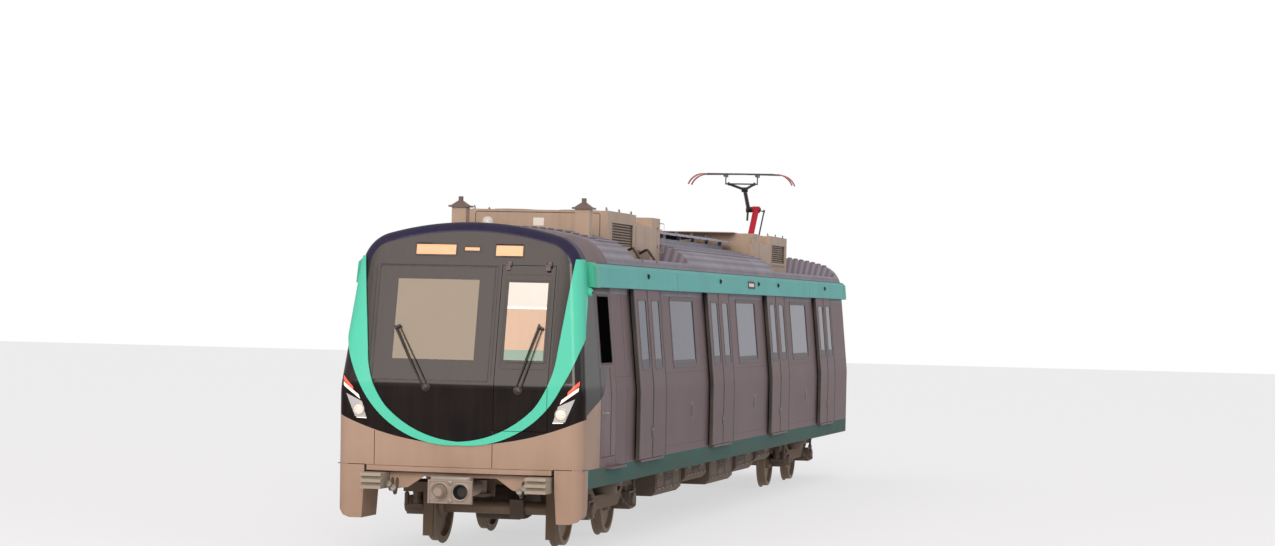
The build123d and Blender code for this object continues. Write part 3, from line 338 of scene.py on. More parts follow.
finish = {
    "underframe_paint": paint("underframePaint", rgb(62, 60, 60), 0.6, dust=0.6, low=0.9),
    # painted shade: the wall steel's grey is set darker than bare steel, partly its own colour and partly the shade on
    # the side walls
    "body_steel": bareSheet("bodySteel", rgb(126, 110, 113), 0.38, 0.7, edgeTint=(0.45, 0.40, 0.42, 1)),
    # the roof's second colour is the painted shade in its grooves
    "roof_paint": ribbedPaint("roofPaint", rgb(158, 152, 166), rgb(96, 90, 100)),
    "cab_paint": paint("cabPaint", rgb(126, 110, 112), 0.42, metal=0.2, coat=0.1, dust=0.2, chips=0.05),
    "bumper_paint": paint("bumperPaint", rgb(178, 152, 133), 0.4, metal=0.2, coat=0.15, dust=0.2, chips=0.1),
    "mask_gloss": paint("maskGloss", rgb(24, 17, 17), 0.3, coat=1.0, dust=0.06, chips=0.0, shade=0.2, coatIor=1.38),
    "cowl_paint": paint("cowlPaint", rgb(36, 34, 66), 0.35, coat=0.35, dust=0.08),
    "aqua_paint": paint("aquaPaint", rgb(90, 208, 176), 0.36, coat=0.25, dust=0.06, chips=0.03, shade=0.05),
    "glass": pane("saloonGlass", rgb(80, 84, 110), 0.45, 0.04, ior=1.15),
    "lamp_lens": pane("lampLens", rgb(240, 240, 236), 0.8, 0.05, 0.05),
    "black_trim": paint("blackTrim", rgb(30, 28, 28), 0.42, dust=0.15),
    "climber_steel": paint("climberPaint", rgb(176, 168, 150), 0.5, dust=0.4, low=0.6, chips=0.5),
    "band_paint": paint("bandPaint", rgb(98, 184, 176), 0.4, coat=0.15, dust=0.14, chips=0.05, shade=0.06),
    "sole_paint": paint("solePaint", rgb(42, 104, 100), 0.45, coat=0.2, dust=0.35, low=0.6),
    "bright_steel": bareSheet("brightSteel", rgb(160, 154, 152), 0.3, 0.9, 0.12),
    "bellows_rubber": rubberLike("bellowsRubber", rgb(52, 52, 54)),
    "cast_steel": paint("castSteel", rgb(160, 142, 132), 0.45, metal=0.3, dust=0.4, low=0.5, chips=0.6),
    "unit_paint": paint("unitPaint", rgb(182, 158, 136), 0.55, dust=0.30, low=0.0, shade=0.12, dustScale=2.4),
    "cover_paint": paint("coverPaint", rgb(166, 170, 188), 0.45, dust=0.3, low=0.0),
    "aerial_plastic": paint("aerialPlastic", rgb(226, 222, 214), 0.3, dust=0.15, chips=0.0),
    "roof_metal": paint("roofMetal", rgb(92, 92, 96), 0.5, dust=0.35, low=0.0),
    "case_paint": paint("casePaint", rgb(84, 82, 82), 0.55, dust=0.6, low=0.9),
    "bench_plastic": paint("benchPlastic", rgb(96, 140, 150), 0.3, dust=0.03, low=0.0, chips=0.0),
    "lining_paint": paint("liningPaint", rgb(200, 198, 190), 0.45, dust=0.03, low=0.0, chips=0.02),
    "desk_plastic": paint("deskPlastic", rgb(58, 58, 60), 0.5, dust=0.05, low=0.0, chips=0.0),
    "seat_fabric": wovenCloth("seatFabric", rgb(44, 50, 68), rgb(70, 78, 98)),
    "bogie_paint": paint("bogiePaint", rgb(74, 72, 70), 0.6, dust=0.7, low=0.9, chips=0.3),
    "spring_rubber": rubberLike("springRubber", rgb(40, 39, 38), 0.6, 0.6, 0.8),
    "drive_paint": paint("drivePaint", rgb(82, 82, 86), 0.5, dust=0.6, low=0.8),
    "wheel_steel": bareSheet("wheelSteel", rgb(146, 128, 112), 0.4, 0.8, 0.45, 0.5, 0.1),
    "arm_red": paint("armRed", rgb(206, 34, 62), 0.35, coat=0.3, dust=0.12, low=0.0),
    "arm_black": hornedArm("armBlack", rgb(46, 38, 40), rgb(150, 72, 70), 0.62),
}
sealRubber = rubberLike("sealRubber", rgb(34, 31, 31))
frameRubber = rubberLike("frameRubber", rgb(64, 55, 60), 0.55, 0.15)
hoseRubber = rubberLike("hoseRubber", rgb(36, 34, 34))
paneStrip = paint("paneStrip", rgb(66, 60, 70), 0.5, dust=0.1, chips=0.0)
seamShadow = paint("seamShadow", rgb(20, 18, 18), 0.6, dust=0.05, chips=0.0)
fritBlack = paint("fritBlack", rgb(28, 22, 22), 0.3, coat=1.0, dust=0.06, chips=0.0, coatIor=1.38)
blindCloth = paint("blindPanel", rgb(240, 234, 224), 0.7, dust=0.05, chips=0.0)
grilleDark = paint("grilleDark", rgb(70, 66, 64), 0.55, dust=0.35, low=0.0)
postCap = paint("postCap", rgb(104, 90, 86), 0.5, dust=0.3, low=0.0)
# painted reflection: lighter grey given to the black hinges, standing for the mask's reflected sky
hingeGrey = paint("hingeGrey", rgb(98, 86, 84), 0.5, dust=0.05, chips=0.0)
endCapGreen = paint("endCapGreen", rgb(64, 184, 150), 0.3, coat=0.5, dust=0.08, chips=0.02)
insulatorBrown = paint("insulatorBrown", rgb(112, 52, 36), 0.18, coat=0.7, dust=0.2, low=0.0, chips=0.0)
carbonStrip = paint("carbonStrip", rgb(44, 44, 46), 0.5, metal=0.2, dust=0.05, low=0.0)
screenDark = paint("screenDark", rgb(18, 22, 28), 0.08, coat=0.8, dust=0.03, low=0.0, chips=0.0)
screenGlass = pane("screenGlass", rgb(146, 130, 104), 0.35, 0.03)
# painted light: the exit door's glass is pale and warm, standing in for the bright light seen in it
exitGlass = pane("exitGlass", rgb(208, 172, 140), 0.2, 0.03)
footGlass = pane("footGlass", rgb(124, 160, 142), 0.2, 0.03)
darkGlass = pane("cabSideGlass", rgb(7, 7, 9), 0.1, 0.02, 0.0, 1.0)
boltSteel = bareSheet("boltSteel", rgb(150, 146, 140), 0.35, 0.9, 0.3)
reflectorSilver = bareSheet("reflectorSilver", rgb(214, 212, 208), 0.14, 1.0, 0.05, 0.0, 0.05)
redLamp = lampGlow("redLamp", rgb(255, 92, 66), 0.8)
# whiteGlow lights the lamps, and on the exit door blind's bar it is a painted highlight
whiteGlow = lampGlow("whiteGlow", rgb(255, 236, 222), 0.7)
headLamp = lampGlow("headLamp", rgb(236, 220, 205), 0.35)
amberPanel = lampGlow("amberPanel", rgb(255, 170, 120), 0.75, 620.0)
pinkPanel = lampGlow("pinkPanel", rgb(206, 150, 150), 0.2)
ceilingLight = lampGlow("ceilingLight", rgb(255, 252, 244), 1.2)

slotOfNode = {part["node"]: part["material_slot"] for part in frame["record"]["subparts"]}
for nodeName, thing in nodes.items():
    thing.data.materials.clear()
    thing.data.materials.append(finish[slotOfNode[nodeName]])
# the door tracks are as dull as the wall
nodes["door_tracks"].data.materials[0] = finish["body_steel"]


def recolour(name, material, *tests):
    # faces of a CAD node whose corners all pass one of the tests get a second material
    mesh = nodes[name].data
    mesh.materials.append(material)
    for face in mesh.polygons:
        spots = [mesh.vertices[i].co for i in face.vertices]
        if any(all(test(spot) for spot in spots) for test in tests):
            face.material_index = 1


def inside(x0, x1, z0, z1, edge=0.00015):
    return lambda spot: x0 + edge < spot.x < x1 - edge and z0 + edge < spot.z < z1 - edge


doorPitch = 5.0
doorCentres = [6.95 - doorPitch * i for i in range(4)]
leafLength, leafMeet = 0.8475, 0.0025
leafPanes = {"fore": (0.740, 0.220), "aft": (1.560, 1.070)}
leafWindows = {half: [(centre + leafMeet + leafLength - back, centre + leafMeet + leafLength - front, 2.130, 3.000)
                      for centre in doorCentres] for half, (back, front) in leafPanes.items()}
cabWindow = (9.030, 9.680, 2.220, 3.030)
for sideName in ("left", "right"):
    for half, windows in leafWindows.items():
        recolour("doors_" + sideName + "_" + half, finish["glass"], *[inside(*window) for window in windows])
    recolour("cab_door_" + sideName, darkGlass, inside(*cabWindow))

# ears and knuckles of the emergency door's hinges, in a flat grey that is a painted reflection: it stands for the sky
# the glossy mask mirrors round them
hingeFacts = {"ys": (0.48, 0.95), "half": 0.0385, "zs": (3.27, 3.42), "behind": 10.39}
for nodeName in ("front_mask", "emergency_door"):
    recolour(nodeName, hingeGrey, lambda spot: spot.x > hingeFacts["behind"]
             and hingeFacts["zs"][0] < spot.z < hingeFacts["zs"][1]
             and min(abs(spot.y - y) for y in hingeFacts["ys"]) < hingeFacts["half"])

# the caps of the vent posts are darker than their shafts
capFoot = 4.078
nodes["vent_posts"].data.materials.append(postCap)
for face in nodes["vent_posts"].data.polygons:
    face.material_index = int(face.center.z > capFoot)

# painted shade: below the crease the coat is weaker, so the lower mask shows less reflection and looks darker,
# standing for the dark ground it mirrors
lowMaskShadeFacts = {"foot": 1.925, "slope": 16.0, "least": 0.35}
for material in (finish["mask_gloss"], fritBlack):
    coatInput = material.node_tree.nodes["Principled BSDF"].inputs["Coat Weight"]
    above = ((split(objectPlace(material.node_tree))[2] - lowMaskShadeFacts["foot"]) * lowMaskShadeFacts["slope"]).clamped()
    share = above * (1 - lowMaskShadeFacts["least"]) + lowMaskShadeFacts["least"]
    fill({0: coatInput}, {0: Wire(coatInput.links[0].from_socket) * share})
print("materials made for", len(nodes), "nodes")


# Studio: pale floor, even light, white behind the car
studioFacts = {"ambient": 0.55, "ambientColour": (0.93, 0.90, 1.0, 1), "floorReach": 140, "floorGlow": 0.6}
# name, kind, place, what it looks at, size in metres or in degrees for the sun, power, colour
lampTable = (("keySun", "SUN", (30, 6, 13), (0, 0, 2), 24, 1.25, (1.0, 0.90, 0.80)),
             ("frontLamp", "AREA", (32.4, -6.3, 13), (10.6, 0, 2.7), 13, 2200, (1.0, 0.87, 0.79)),
             ("sideLamp", "AREA", (4, 26, 10), (0, 0, 2.2), 15, 700, (1.0, 0.95, 1.0)))


def seenRays(tree):
    # rays that show the background: camera, glossy and transmission
    camera, glossy, clear = (Wire(tree.nodes.new("ShaderNodeLightPath").outputs["Is " + kind + " Ray"])
                             for kind in ("Camera", "Glossy", "Transmission"))
    return calc(tree, "MAXIMUM", camera, calc(tree, "MAXIMUM", glossy, clear))


def makeStudio():
    world = bpy.data.worlds.new("studio")
    scene.world = world
    world.use_nodes = True
    tree = world.node_tree
    tree.nodes.clear()
    ambient = wire(tree, "ShaderNodeBackground", {"Color": studioFacts["ambientColour"],
                                                  "Strength": studioFacts["ambient"]})
    white = wire(tree, "ShaderNodeBackground", {"Color": (1, 1, 1, 1), "Strength": 1.0})
    mix = wire(tree, "ShaderNodeMixShader", {0: seenRays(tree), 1: ambient, 2: white})
    fill(tree.nodes.new("ShaderNodeOutputWorld").inputs, {"Surface": mix})
    for name, kind, place, target, size, power, colour in lampTable:
        light = bpy.data.lights.new(name, kind)
        if kind == "SUN":
            light.angle = math.radians(size)
        else:
            light.size = size
        light.energy = power
        light.color = colour
        lamp = bpy.data.objects.new(name, light)
        scene.collection.objects.link(lamp)
        lamp.location = place
        lamp.rotation_euler = (Vector(target) - Vector(place)).to_track_quat("-Z", "Y").to_euler()
    mesh = bpy.data.meshes.new("studioFloor")
    reach = studioFacts["floorReach"]
    mesh.from_pydata([(-reach, -reach, 0), (reach, -reach, 0), (reach, reach, 0), (-reach, reach, 0)], [],
                     [(0, 1, 2, 3)])
    floorPale = paint("floorPale", rgb(240, 239, 238), 0.75, dust=0.0, chips=0.0, shade=0.01)
    tree = floorPale.node_tree
    pale = Wire(tree.nodes["Principled BSDF"].outputs[0])
    glow = wire(tree, "ShaderNodeEmission")
    mix = wire(tree, "ShaderNodeMixShader", {0: seenRays(tree) * studioFacts["floorGlow"], 1: pale, 2: glow})
    fill(tree.nodes["Material Output"].inputs, {"Surface": mix})
    mesh.materials.append(floorPale)
    floor = bpy.data.objects.new("studioFloor", mesh)
    scene.collection.objects.link(floor)
    scene.view_settings.view_transform = "Standard"


makeStudio()
print("studio made")


# Closed shapes, all added to a bmesh in the car's own coordinates
def loft(shape, rings, index=0, capped=True, looped=False):
    # skins rings of equal length; capped ends make it closed, and so does a loop of rings
    rows = [[shape.verts.new(spot) for spot in ring] for ring in rings]
    count = len(rows[0])
    for low, high in list(zip(rows, rows[1:])) + ([(rows[-1], rows[0])] if looped else []):
        for i in range(count):
            j = (i + 1) % count
            shape.faces.new((low[i], low[j], high[j], high[i])).material_index = index
    if capped and not looped:
        for row in (rows[0][::-1], rows[-1]):
            shape.faces.new(row).material_index = index
    return rows


def steps(low, high, count):
    return [low + (high - low) * i / count for i in range(count + 1)]


def upright(x, heights):
    return [(x, z) for z in heights]


def level(xs, z):
    return [(x, z) for x in xs]


def roundedOutline(u0, u1, v0, v1, radius, cornerSteps=4, spacing=0.3):
    # points round a rounded rectangle, each with its outward direction
    corners = ((u1 - radius, v1 - radius, 0), (u0 + radius, v1 - radius, 90),
               (u0 + radius, v0 + radius, 180), (u1 - radius, v0 + radius, 270))
    points = []
    for cu, cv, start in corners:
        for k in range(cornerSteps + 1):
            a = math.radians(start + 90 * k / cornerSteps)
            points.append((cu + radius * math.cos(a), cv + radius * math.sin(a), math.cos(a), math.sin(a)))
    dense = []
    for here, ahead in zip(points, points[1:] + points[:1]):
        dense.append(here)
        extra = int(math.dist(here[:2], ahead[:2]) / spacing)
        for k in range(1, extra + 1):
            share = k / (extra + 1)
            dense.append(tuple(a + (b - a) * share for a, b in zip(here, ahead)))
    return dense


def cornered(*corners):
    # outline of a polygon given anticlockwise, with the outward direction at each corner
    made = []
    for i, (u, v) in enumerate(corners):
        before, after = corners[i - 1], corners[(i + 1) % len(corners)]
        du, dv = after[0] - before[0], after[1] - before[1]
        size = math.hypot(du, dv)
        made.append((u, v, dv / size, -du / size))
    return made


def frameShape(shape, outline, inward, outward, low, high, place, index=0, chamfer=0.002):
    # a frame of even width along the outline, standing from low to high off the surface
    section = ((-inward, low), (-inward, high - chamfer), (chamfer - inward, high), (outward - chamfer, high),
               (outward, high - chamfer), (outward, low))
    loft(shape, [[place(u + nu * side, v + nv * side, off) for side, off in section] for u, v, nu, nv in outline],
         index, looped=True)


def plateShape(shape, outline, low, high, place, index=0, chamfer=0.002):
    # a plate with a chamfered rim
    loft(shape, [[place(u - nu * inset, v - nv * inset, off) for u, v, nu, nv in outline]
                 for inset, off in ((0, low), (0, high - chamfer), (chamfer, high))], index)


def patchShape(shape, us, vs, low, high, place, pick=0, bend=None):
    # a sheet over the grid of us and vs; pick is its material or gives each cell's, bend moves (u, v)
    def spot(u, v, off):
        if bend:
            u, v = bend(u, v)
        return shape.verts.new(place(u, v, off))
    top, under = [[[spot(u, v, off) for v in vs] for u in us] for off in (high, low)]
    for i in range(len(us) - 1):
        for j in range(len(vs) - 1):
            index = pick((us[i] + us[i + 1]) / 2, (vs[j] + vs[j + 1]) / 2) if callable(pick) else pick
            for rows, turned in ((top, False), (under, True)):
                corners = [rows[i][j], rows[i + 1][j], rows[i + 1][j + 1], rows[i][j + 1]]
                shape.faces.new(corners[::-1] if turned else corners).material_index = index
    lastU, lastV = len(us) - 1, len(vs) - 1
    rim = [(i, 0) for i in range(lastU + 1)] + [(lastU, j) for j in range(1, lastV + 1)]
    rim += [(i, lastV) for i in range(lastU - 1, -1, -1)] + [(0, j) for j in range(lastV - 1, 0, -1)]
    for (i, j), (k, m) in zip(rim, rim[1:] + rim[:1]):
        shape.faces.new((under[i][j], under[k][m], top[k][m], top[i][j]))


def quadShape(shape, corners, low, high, place, index=0, count=6):
    # a sheet between four corners (u, v), given in order round it
    def bend(u, v):
        a, b, c, d = corners
        return tuple((1 - v) * ((1 - u) * a[k] + u * b[k]) + v * ((1 - u) * d[k] + u * c[k]) for k in (0, 1))
    patchShape(shape, steps(0, 1, count), steps(0, 1, 3), low, high, place, index, bend)


def cornerFills(shape, window, leg, inset, low, high, place, index):
    # black paint that fills the square corners of a window's cut
    x0, x1, z0, z1 = window
    for cx, cz, sx, sz in ((x0, z0, 1, 1), (x1, z0, -1, 1), (x0, z1, 1, -1), (x1, z1, -1, -1)):
        quadShape(shape, [(cx, cz), (cx + sx * leg, cz), (cx + sx * inset, cz + sz * inset), (cx, cz + sz * leg)],
                  low, high, place, index, 3)


def ribbonShape(shape, path, width, low, high, place, index=0):
    # a strip along a line of (u, v) points
    rings = []
    for i, (u, v) in enumerate(path):
        before, after = path[max(i - 1, 0)], path[min(i + 1, len(path) - 1)]
        du, dv = after[0] - before[0], after[1] - before[1]
        size = math.hypot(du, dv)
        nu, nv = -dv / size * width / 2, du / size * width / 2
        rings.append([place(u + nu, v + nv, low), place(u + nu, v + nv, high),
                      place(u - nu, v - nv, high), place(u - nu, v - nv, low)])
    loft(shape, rings, index)


def line(start, end, count):
    return list(zip(steps(start[0], end[0], count), steps(start[1], end[1], count)))


def circle(middle, across, other, radius, sides):
    turns = (math.tau * k / sides for k in range(sides))
    return [middle + (across * math.cos(a) + other * math.sin(a)) * radius for a in turns]


def axesOf(axis):
    axis = Vector(axis).normalized()
    across = axis.orthogonal().normalized()
    return axis, across, axis.cross(across)


def tubeShape(shape, points, radius, sides=8, index=0, smooth=3):
    # round bar along points, rounded between them
    spots = [Vector(p) for p in points]
    if smooth > 1 and len(spots) > 2:
        route = []
        for i in range(len(spots) - 1):
            a, b = spots[max(i - 1, 0)], spots[i]
            c, d = spots[i + 1], spots[min(i + 2, len(spots) - 1)]
            for k in range(smooth):
                t = k / smooth
                route.append(0.5 * (2 * b + (c - a) * t + (2 * a - 5 * b + 4 * c - d) * t * t
                                    + (3 * b - a - 3 * c + d) * t ** 3))
        spots = route + [spots[-1]]
    rings = []
    across = None
    for i, spot in enumerate(spots):
        ahead = (spots[min(i + 1, len(spots) - 1)] - spots[max(i - 1, 0)]).normalized()
        if across is None:
            across = ahead.orthogonal().normalized()
        across = (across - ahead * across.dot(ahead)).normalized()
        rings.append(circle(spot, across, ahead.cross(across), radius, sides))
    loft(shape, rings, index)


def turnedShape(shape, centre, axis, profile, sides=24, index=0):
    # turned form: profile gives (radius, distance along the axis), from the axis back to the axis
    axis, across, other = axesOf(axis)
    rows = []
    for radius, height in profile:
        middle = Vector(centre) + axis * height
        spots = circle(middle, across, other, radius, sides) if radius else [middle]
        rows.append([shape.verts.new(spot) for spot in spots])
    for low, high in zip(rows, rows[1:]):
        for i in range(sides):
            j = (i + 1) % sides
            if len(low) == 1:
                corners = (low[0], high[j], high[i])
            elif len(high) == 1:
                corners = (low[i], low[j], high[0])
            else:
                corners = (low[i], low[j], high[j], high[i])
            shape.faces.new(corners).material_index = index


def ringShape(shape, centre, axis, profile, sides=32, index=0):
    # a ring round an axis: profile is a closed loop of (radius, distance along the axis)
    axis, across, other = axesOf(axis)
    circles = [circle(Vector(centre) + axis * height, across, other, radius, sides) for radius, height in profile]
    loft(shape, list(zip(*circles)), index, looped=True)


def boxShape(shape, x0, x1, y0, y1, z0, z1, bevel=0.004, index=0):
    # box with rounded edges
    made = bmesh.ops.create_cube(shape, size=1.0)["verts"]
    for vert in made:
        vert.co = Vector(((x0 + x1) / 2 + vert.co.x * (x1 - x0), (y0 + y1) / 2 + vert.co.y * (y1 - y0),
                          (z0 + z1) / 2 + vert.co.z * (z1 - z0)))
    for face in {face for vert in made for face in vert.link_faces}:
        face.material_index = index
    edges = list(dict.fromkeys(edge for vert in made for edge in vert.link_edges))
    if bevel:
        bmesh.ops.bevel(shape, geom=edges, offset=bevel, segments=2, affect="EDGES", profile=0.7)


sharpAngle = math.radians(38)


def smoothed(mesh):
    mesh.shade_smooth()
    mesh.set_sharp_from_angle(angle=sharpAngle)


def piece(name, shape, body, slotName, *materials):
    bmesh.ops.recalc_face_normals(shape, faces=shape.faces)
    mesh = bpy.data.meshes.new(name)
    shape.to_mesh(mesh)
    shape.free()
    for material in materials:
        mesh.materials.append(material)
    thing = bpy.data.objects.new(name, mesh)
    scene.collection.objects.link(thing)
    smoothed(mesh)
    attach(thing, body)
    return thing


# The car's surfaces: place(u, v, off) gives a point off the surface by off
def treeOf(*names):
    spots, faces = [], []
    for name in names:
        mesh = nodes[name].data
        base = len(spots)
        spots.extend(vert.co.copy() for vert in mesh.vertices)
        faces.extend([base + i for i in face.vertices] for face in mesh.polygons)
    return BVHTree.FromPolygons(spots, faces)


frontTree = treeOf("front_mask", "front_bumper", "windscreen", "emergency_door", "emergency_door_glass",
                   "roof_cowl", "cab_shell")
noseFacts = {"x": 10.800, "creaseZ": 1.960, "soleZ": 1.020, "soleX": 10.762, "soleRise": 0.038, "lean": 0.228,
             "radius": 12.0, "flatHalf": 1.27, "step": 0.012}
wallFacts = {"y": 1.45, "bendZ": 1.87, "topInset": 0.12, "height": 1.235}


def skinX(y, z):
    creaseZ, soleZ, radius = noseFacts["creaseZ"], noseFacts["soleZ"], noseFacts["radius"]
    if z > creaseZ:
        frontX = noseFacts["x"] - noseFacts["lean"] * (z - creaseZ)
    else:
        frontX = noseFacts["soleX"] + noseFacts["soleRise"] * (z - soleZ) / (creaseZ - soleZ)
    ring = frontX - (noseFacts["x"] - radius)
    return noseFacts["x"] - radius + math.sqrt(ring * ring - y * y)


def onFront(y, z, off):
    # the CAD skin, or its smooth form where the ray falls into a joint of the middle part
    flat = skinX(y, z)
    found = frontTree.ray_cast(Vector((12, y, z)), Vector((-1, 0, 0)))[0]
    if found is None or (abs(y) < noseFacts["flatHalf"] and abs(found.x - flat) > noseFacts["step"]):
        return Vector((flat + off, y, z))
    return Vector((found.x + off, y, z))


def wallY(z):
    # upright up to the bend, then leaning in
    above = max(z - wallFacts["bendZ"], 0)
    return wallFacts["y"] - wallFacts["topInset"] * above / wallFacts["height"]


def onSide(side, extra=0.0):
    return lambda x, z, off: Vector((x, side * (wallY(z) + extra + off), z))


def onFlatY(y, side):
    return lambda x, z, off: Vector((x, side * (y + off), z))


def onTop(z):
    return lambda x, y, off: Vector((x, y, z + off))


def onFlatX(x, side=1):
    return lambda y, z, off: Vector((x + side * off, y, z))


sides = (("left", 1), ("right", -1))


# Front glazing: panes with their black borders, as y and z from and to
screenFacts = {"glass": (-0.820, 0.150, 2.250, 3.170), "edge": (-1.0497, 0.3297, 2.0103, 3.3197)}
exitFacts = {"glass": (0.500, 0.955, 2.262, 3.150), "edge": (0.4853, 0.9747, 2.2353, 3.1697),
             "blindLow": 2.850, "blindBar": 2.872, "footHeight": 0.1, "sideStrip": 0.03}
paneThickness = 0.013


def frontGlazing():
    shape = bmesh.new()
    y0, y1, z0, z1 = screenFacts["glass"]
    edgeLeft, edgeRight, edgeLow, edgeHigh = screenFacts["edge"]
    us = steps(edgeLeft, y0, 3) + steps(y0, y1, 8)[1:] + steps(y1, edgeRight, 3)[1:]
    vs = steps(edgeLow, z0, 3) + steps(z0, z1, 8)[1:] + steps(z1, edgeHigh, 3)[1:]
    patchShape(shape, us, vs, -paneThickness, 0.0, onFront, lambda u, v: int(y0 < u < y1 and z0 < v < z1))
    glass = piece("windscreen_glazing", shape, "carbody", "glass", fritBlack, screenGlass)
    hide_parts("windscreen")
    shape = bmesh.new()
    exitY0, exitY1, exitZ0, exitZ1 = exitFacts["glass"]
    edgeLeft, edgeRight, edgeLow, edgeHigh = exitFacts["edge"]
    low, blindBar = exitFacts["blindLow"], exitFacts["blindBar"]
    us = [edgeLeft] + steps(exitY0, exitY1, 6) + [edgeRight]
    vs = [edgeLow] + steps(exitZ0, low, 5) + [blindBar] + steps(blindBar, exitZ1, 3)[1:] + [edgeHigh]

    def pick(u, v):
        # black border, pale foot, glass that is pale with painted light, blind and the bar at its lower edge, which
        # glows as a painted highlight
        if not (exitY0 < u < exitY1 and exitZ0 < v < exitZ1):
            return 0
        if v < exitZ0 + exitFacts["footHeight"]:
            return 4
        if u < exitY0 + exitFacts["sideStrip"] or v < low:
            return 1
        return 3 if v < blindBar else 2
    patchShape(shape, us, vs, -paneThickness, 0.0, onFront, pick)
    glass = piece("emergency_door_glazing", shape, "emergency_door", "glass", fritBlack, exitGlass, blindCloth,
                  whiteGlow, footGlass)
    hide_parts("emergency_door_glass")


frontGlazing()

# (y, z) runs of the dark joints on the front, with their width
frontJoints = (((-1.050, 3.332), (0.360, 3.332), 0.013), ((-1.092, 2.000), (-1.092, 3.332), 0.006),
               ((0.366, 1.970), (0.366, 3.332), 0.006), ((0.402, 1.300), (0.402, 1.448), 0.008),
               ((-1.160, 2.010), (-1.150, 3.380), 0.005), ((1.070, 2.100), (1.062, 3.330), 0.005),
               ((0.402, 1.024), (0.402, 1.296), 0.008), ((-1.000, 1.024), (-1.000, 1.420), 0.008))
soleJointZ, jointSpacing = 1.0235, 0.12


def frontJointLines():
    shape = bmesh.new()
    for start, end, width in frontJoints:
        count = max(2, int(math.dist(start, end) / jointSpacing))
        ribbonShape(shape, line(start, end, count), width, -0.003, 0.0008, onFront)
    for side in (1, -1):
        across = [side * y for y in steps(1.102, 1.425, 9)]
        ribbonShape(shape, level(across, soleJointZ), 0.009, -0.004, 0.0008, onFront)
        ribbonShape(shape, level(steps(10.40, 10.66, 3), soleJointZ), 0.009, -0.003, 0.0008, onSide(side))
    piece("front_joints", shape, "carbody", "black_trim", seamShadow)
    # rubber round the exit door's pane and the outline of its inner frame, then the windscreen's rubber
    shape = bmesh.new()
    frameShape(shape, roundedOutline(0.462, 0.998, 2.160, 3.240, 0.03, 4, 0.15), 0.004, 0.004, -0.003, 0.0012,
               onFront, 0, 0.0006)
    frameShape(shape, roundedOutline(0.484, 0.976, 2.234, 3.171, 0.012, 3, 0.15), 0.006, 0.008, -0.004, 0.002,
               onFront, 0, 0.001)
    piece("emergency_door_seal", shape, "emergency_door", "black_trim", sealRubber)
    shape = bmesh.new()
    frameShape(shape, roundedOutline(-1.048, 0.328, 2.012, 3.318, 0.012, 3, 0.15), 0.004, 0.009, -0.004, 0.0016,
               onFront, 0, 0.001)
    piece("windscreen_seal", shape, "carbody", "black_trim", sealRubber)


frontJointLines()

# Lamp clusters: corners as (y, z) on the left side, and the round lamp's middle
housing = [(1.070, 1.538), (1.245, 1.548), (1.408, 1.840), (1.402, 2.058), (1.300, 1.905), (1.135, 1.750)]
redStrip = [(1.262, 1.868), (1.392, 1.990), (1.392, 2.040), (1.268, 1.912)]
# corners, height off the skin, material and steps of each field in the housing
clusterFields = (([(1.100, 1.562), (1.238, 1.572), (1.350, 1.835), (1.158, 1.748)], 0.009, 1, 6),
                 (redStrip, 0.014, 2, 6),
                 ([(1.178, 1.772), (1.385, 1.925), (1.388, 1.968), (1.196, 1.822)], 0.013, 3, 6),
                 ([(1.095, 1.552), (1.215, 1.556), (1.222, 1.566), (1.098, 1.564)], 0.012, 3, 4))
lensMiddle = (1.192, 1.655)
# y and z from and to of the route displays
displays = ((-0.640, -0.150, 3.450, 3.580), (-0.060, 0.130, 3.500, 3.552), (0.310, 0.640, 3.445, 3.580))


def lampClusters():
    middle = [sum(corner[k] for corner in housing) / len(housing) for k in (0, 1)]
    halfway = [tuple((corner[k] + middle[k]) / 2 for k in (0, 1)) for corner in housing]
    for sideName, side in sides:
        def place(u, v, off):
            return onFront(side * u, v, off)
        shape = bmesh.new()
        for i in range(len(housing)):
            j = (i + 1) % len(housing)
            quadShape(shape, [housing[i], housing[j], halfway[j], halfway[i]], 0.0003, 0.006, place, 0, 4)
        for corners, high, index, count in clusterFields:
            quadShape(shape, corners, 0.001, high, place, index, count)
        spot = place(*lensMiddle, 0.004)
        tilt = Vector((1, side * 0.12, 0.03))
        turnedShape(shape, spot, tilt, [(0, 0), (0.070, 0), (0.072, 0.016), (0.064, 0.022), (0.060, 0.014),
                                        (0, 0.014)], 32, 1)
        turnedShape(shape, spot, tilt, [(0, 0.015), (0.059, 0.015), (0.050, 0.024), (0.028, 0.030), (0, 0.032)],
                    32, 4)
        for a in (math.tau * k / 6 for k in range(6)):
            bead = spot + Vector((0.024, 0.034 * math.cos(a), 0.034 * math.sin(a)))
            turnedShape(shape, bead, tilt, [(0, 0), (0.010, 0), (0.008, 0.006), (0, 0.008)], 10, 1)
        # beads of light along the upper strip
        (u0, v0), (u1, v1) = redStrip[:2]
        for share in steps(0.12, 0.88, 7):
            bead = place(u0 + (u1 - u0) * share, v0 + (v1 - v0) * share + 0.024, 0.012)
            turnedShape(shape, bead, tilt, [(0, 0), (0.008, 0), (0.006, 0.005), (0, 0.006)], 10, 2)
        cluster = piece("lamp_cluster_" + sideName, shape, "carbody", "lamp_lens", fritBlack, reflectorSilver,
                        redLamp, whiteGlow, headLamp)
        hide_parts("front_lights")
    shape = bmesh.new()
    border = 0.006
    for y0, y1, z0, z1 in displays:
        patchShape(shape, steps(y0 + border, y1 - border, 6), steps(z0 + border, z1 - border, 2), 0.0004, 0.003,
                   onFront, 1)
        frameShape(shape, roundedOutline(y0, y1, z0, z1, 0.008, 2, 0.12), 0.009, 0.010, 0.0003, 0.0055, onFront)
    panels = piece("route_displays", shape, "carbody", "lamp_lens", fritBlack, amberPanel)
    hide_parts("front_lights")


lampClusters()

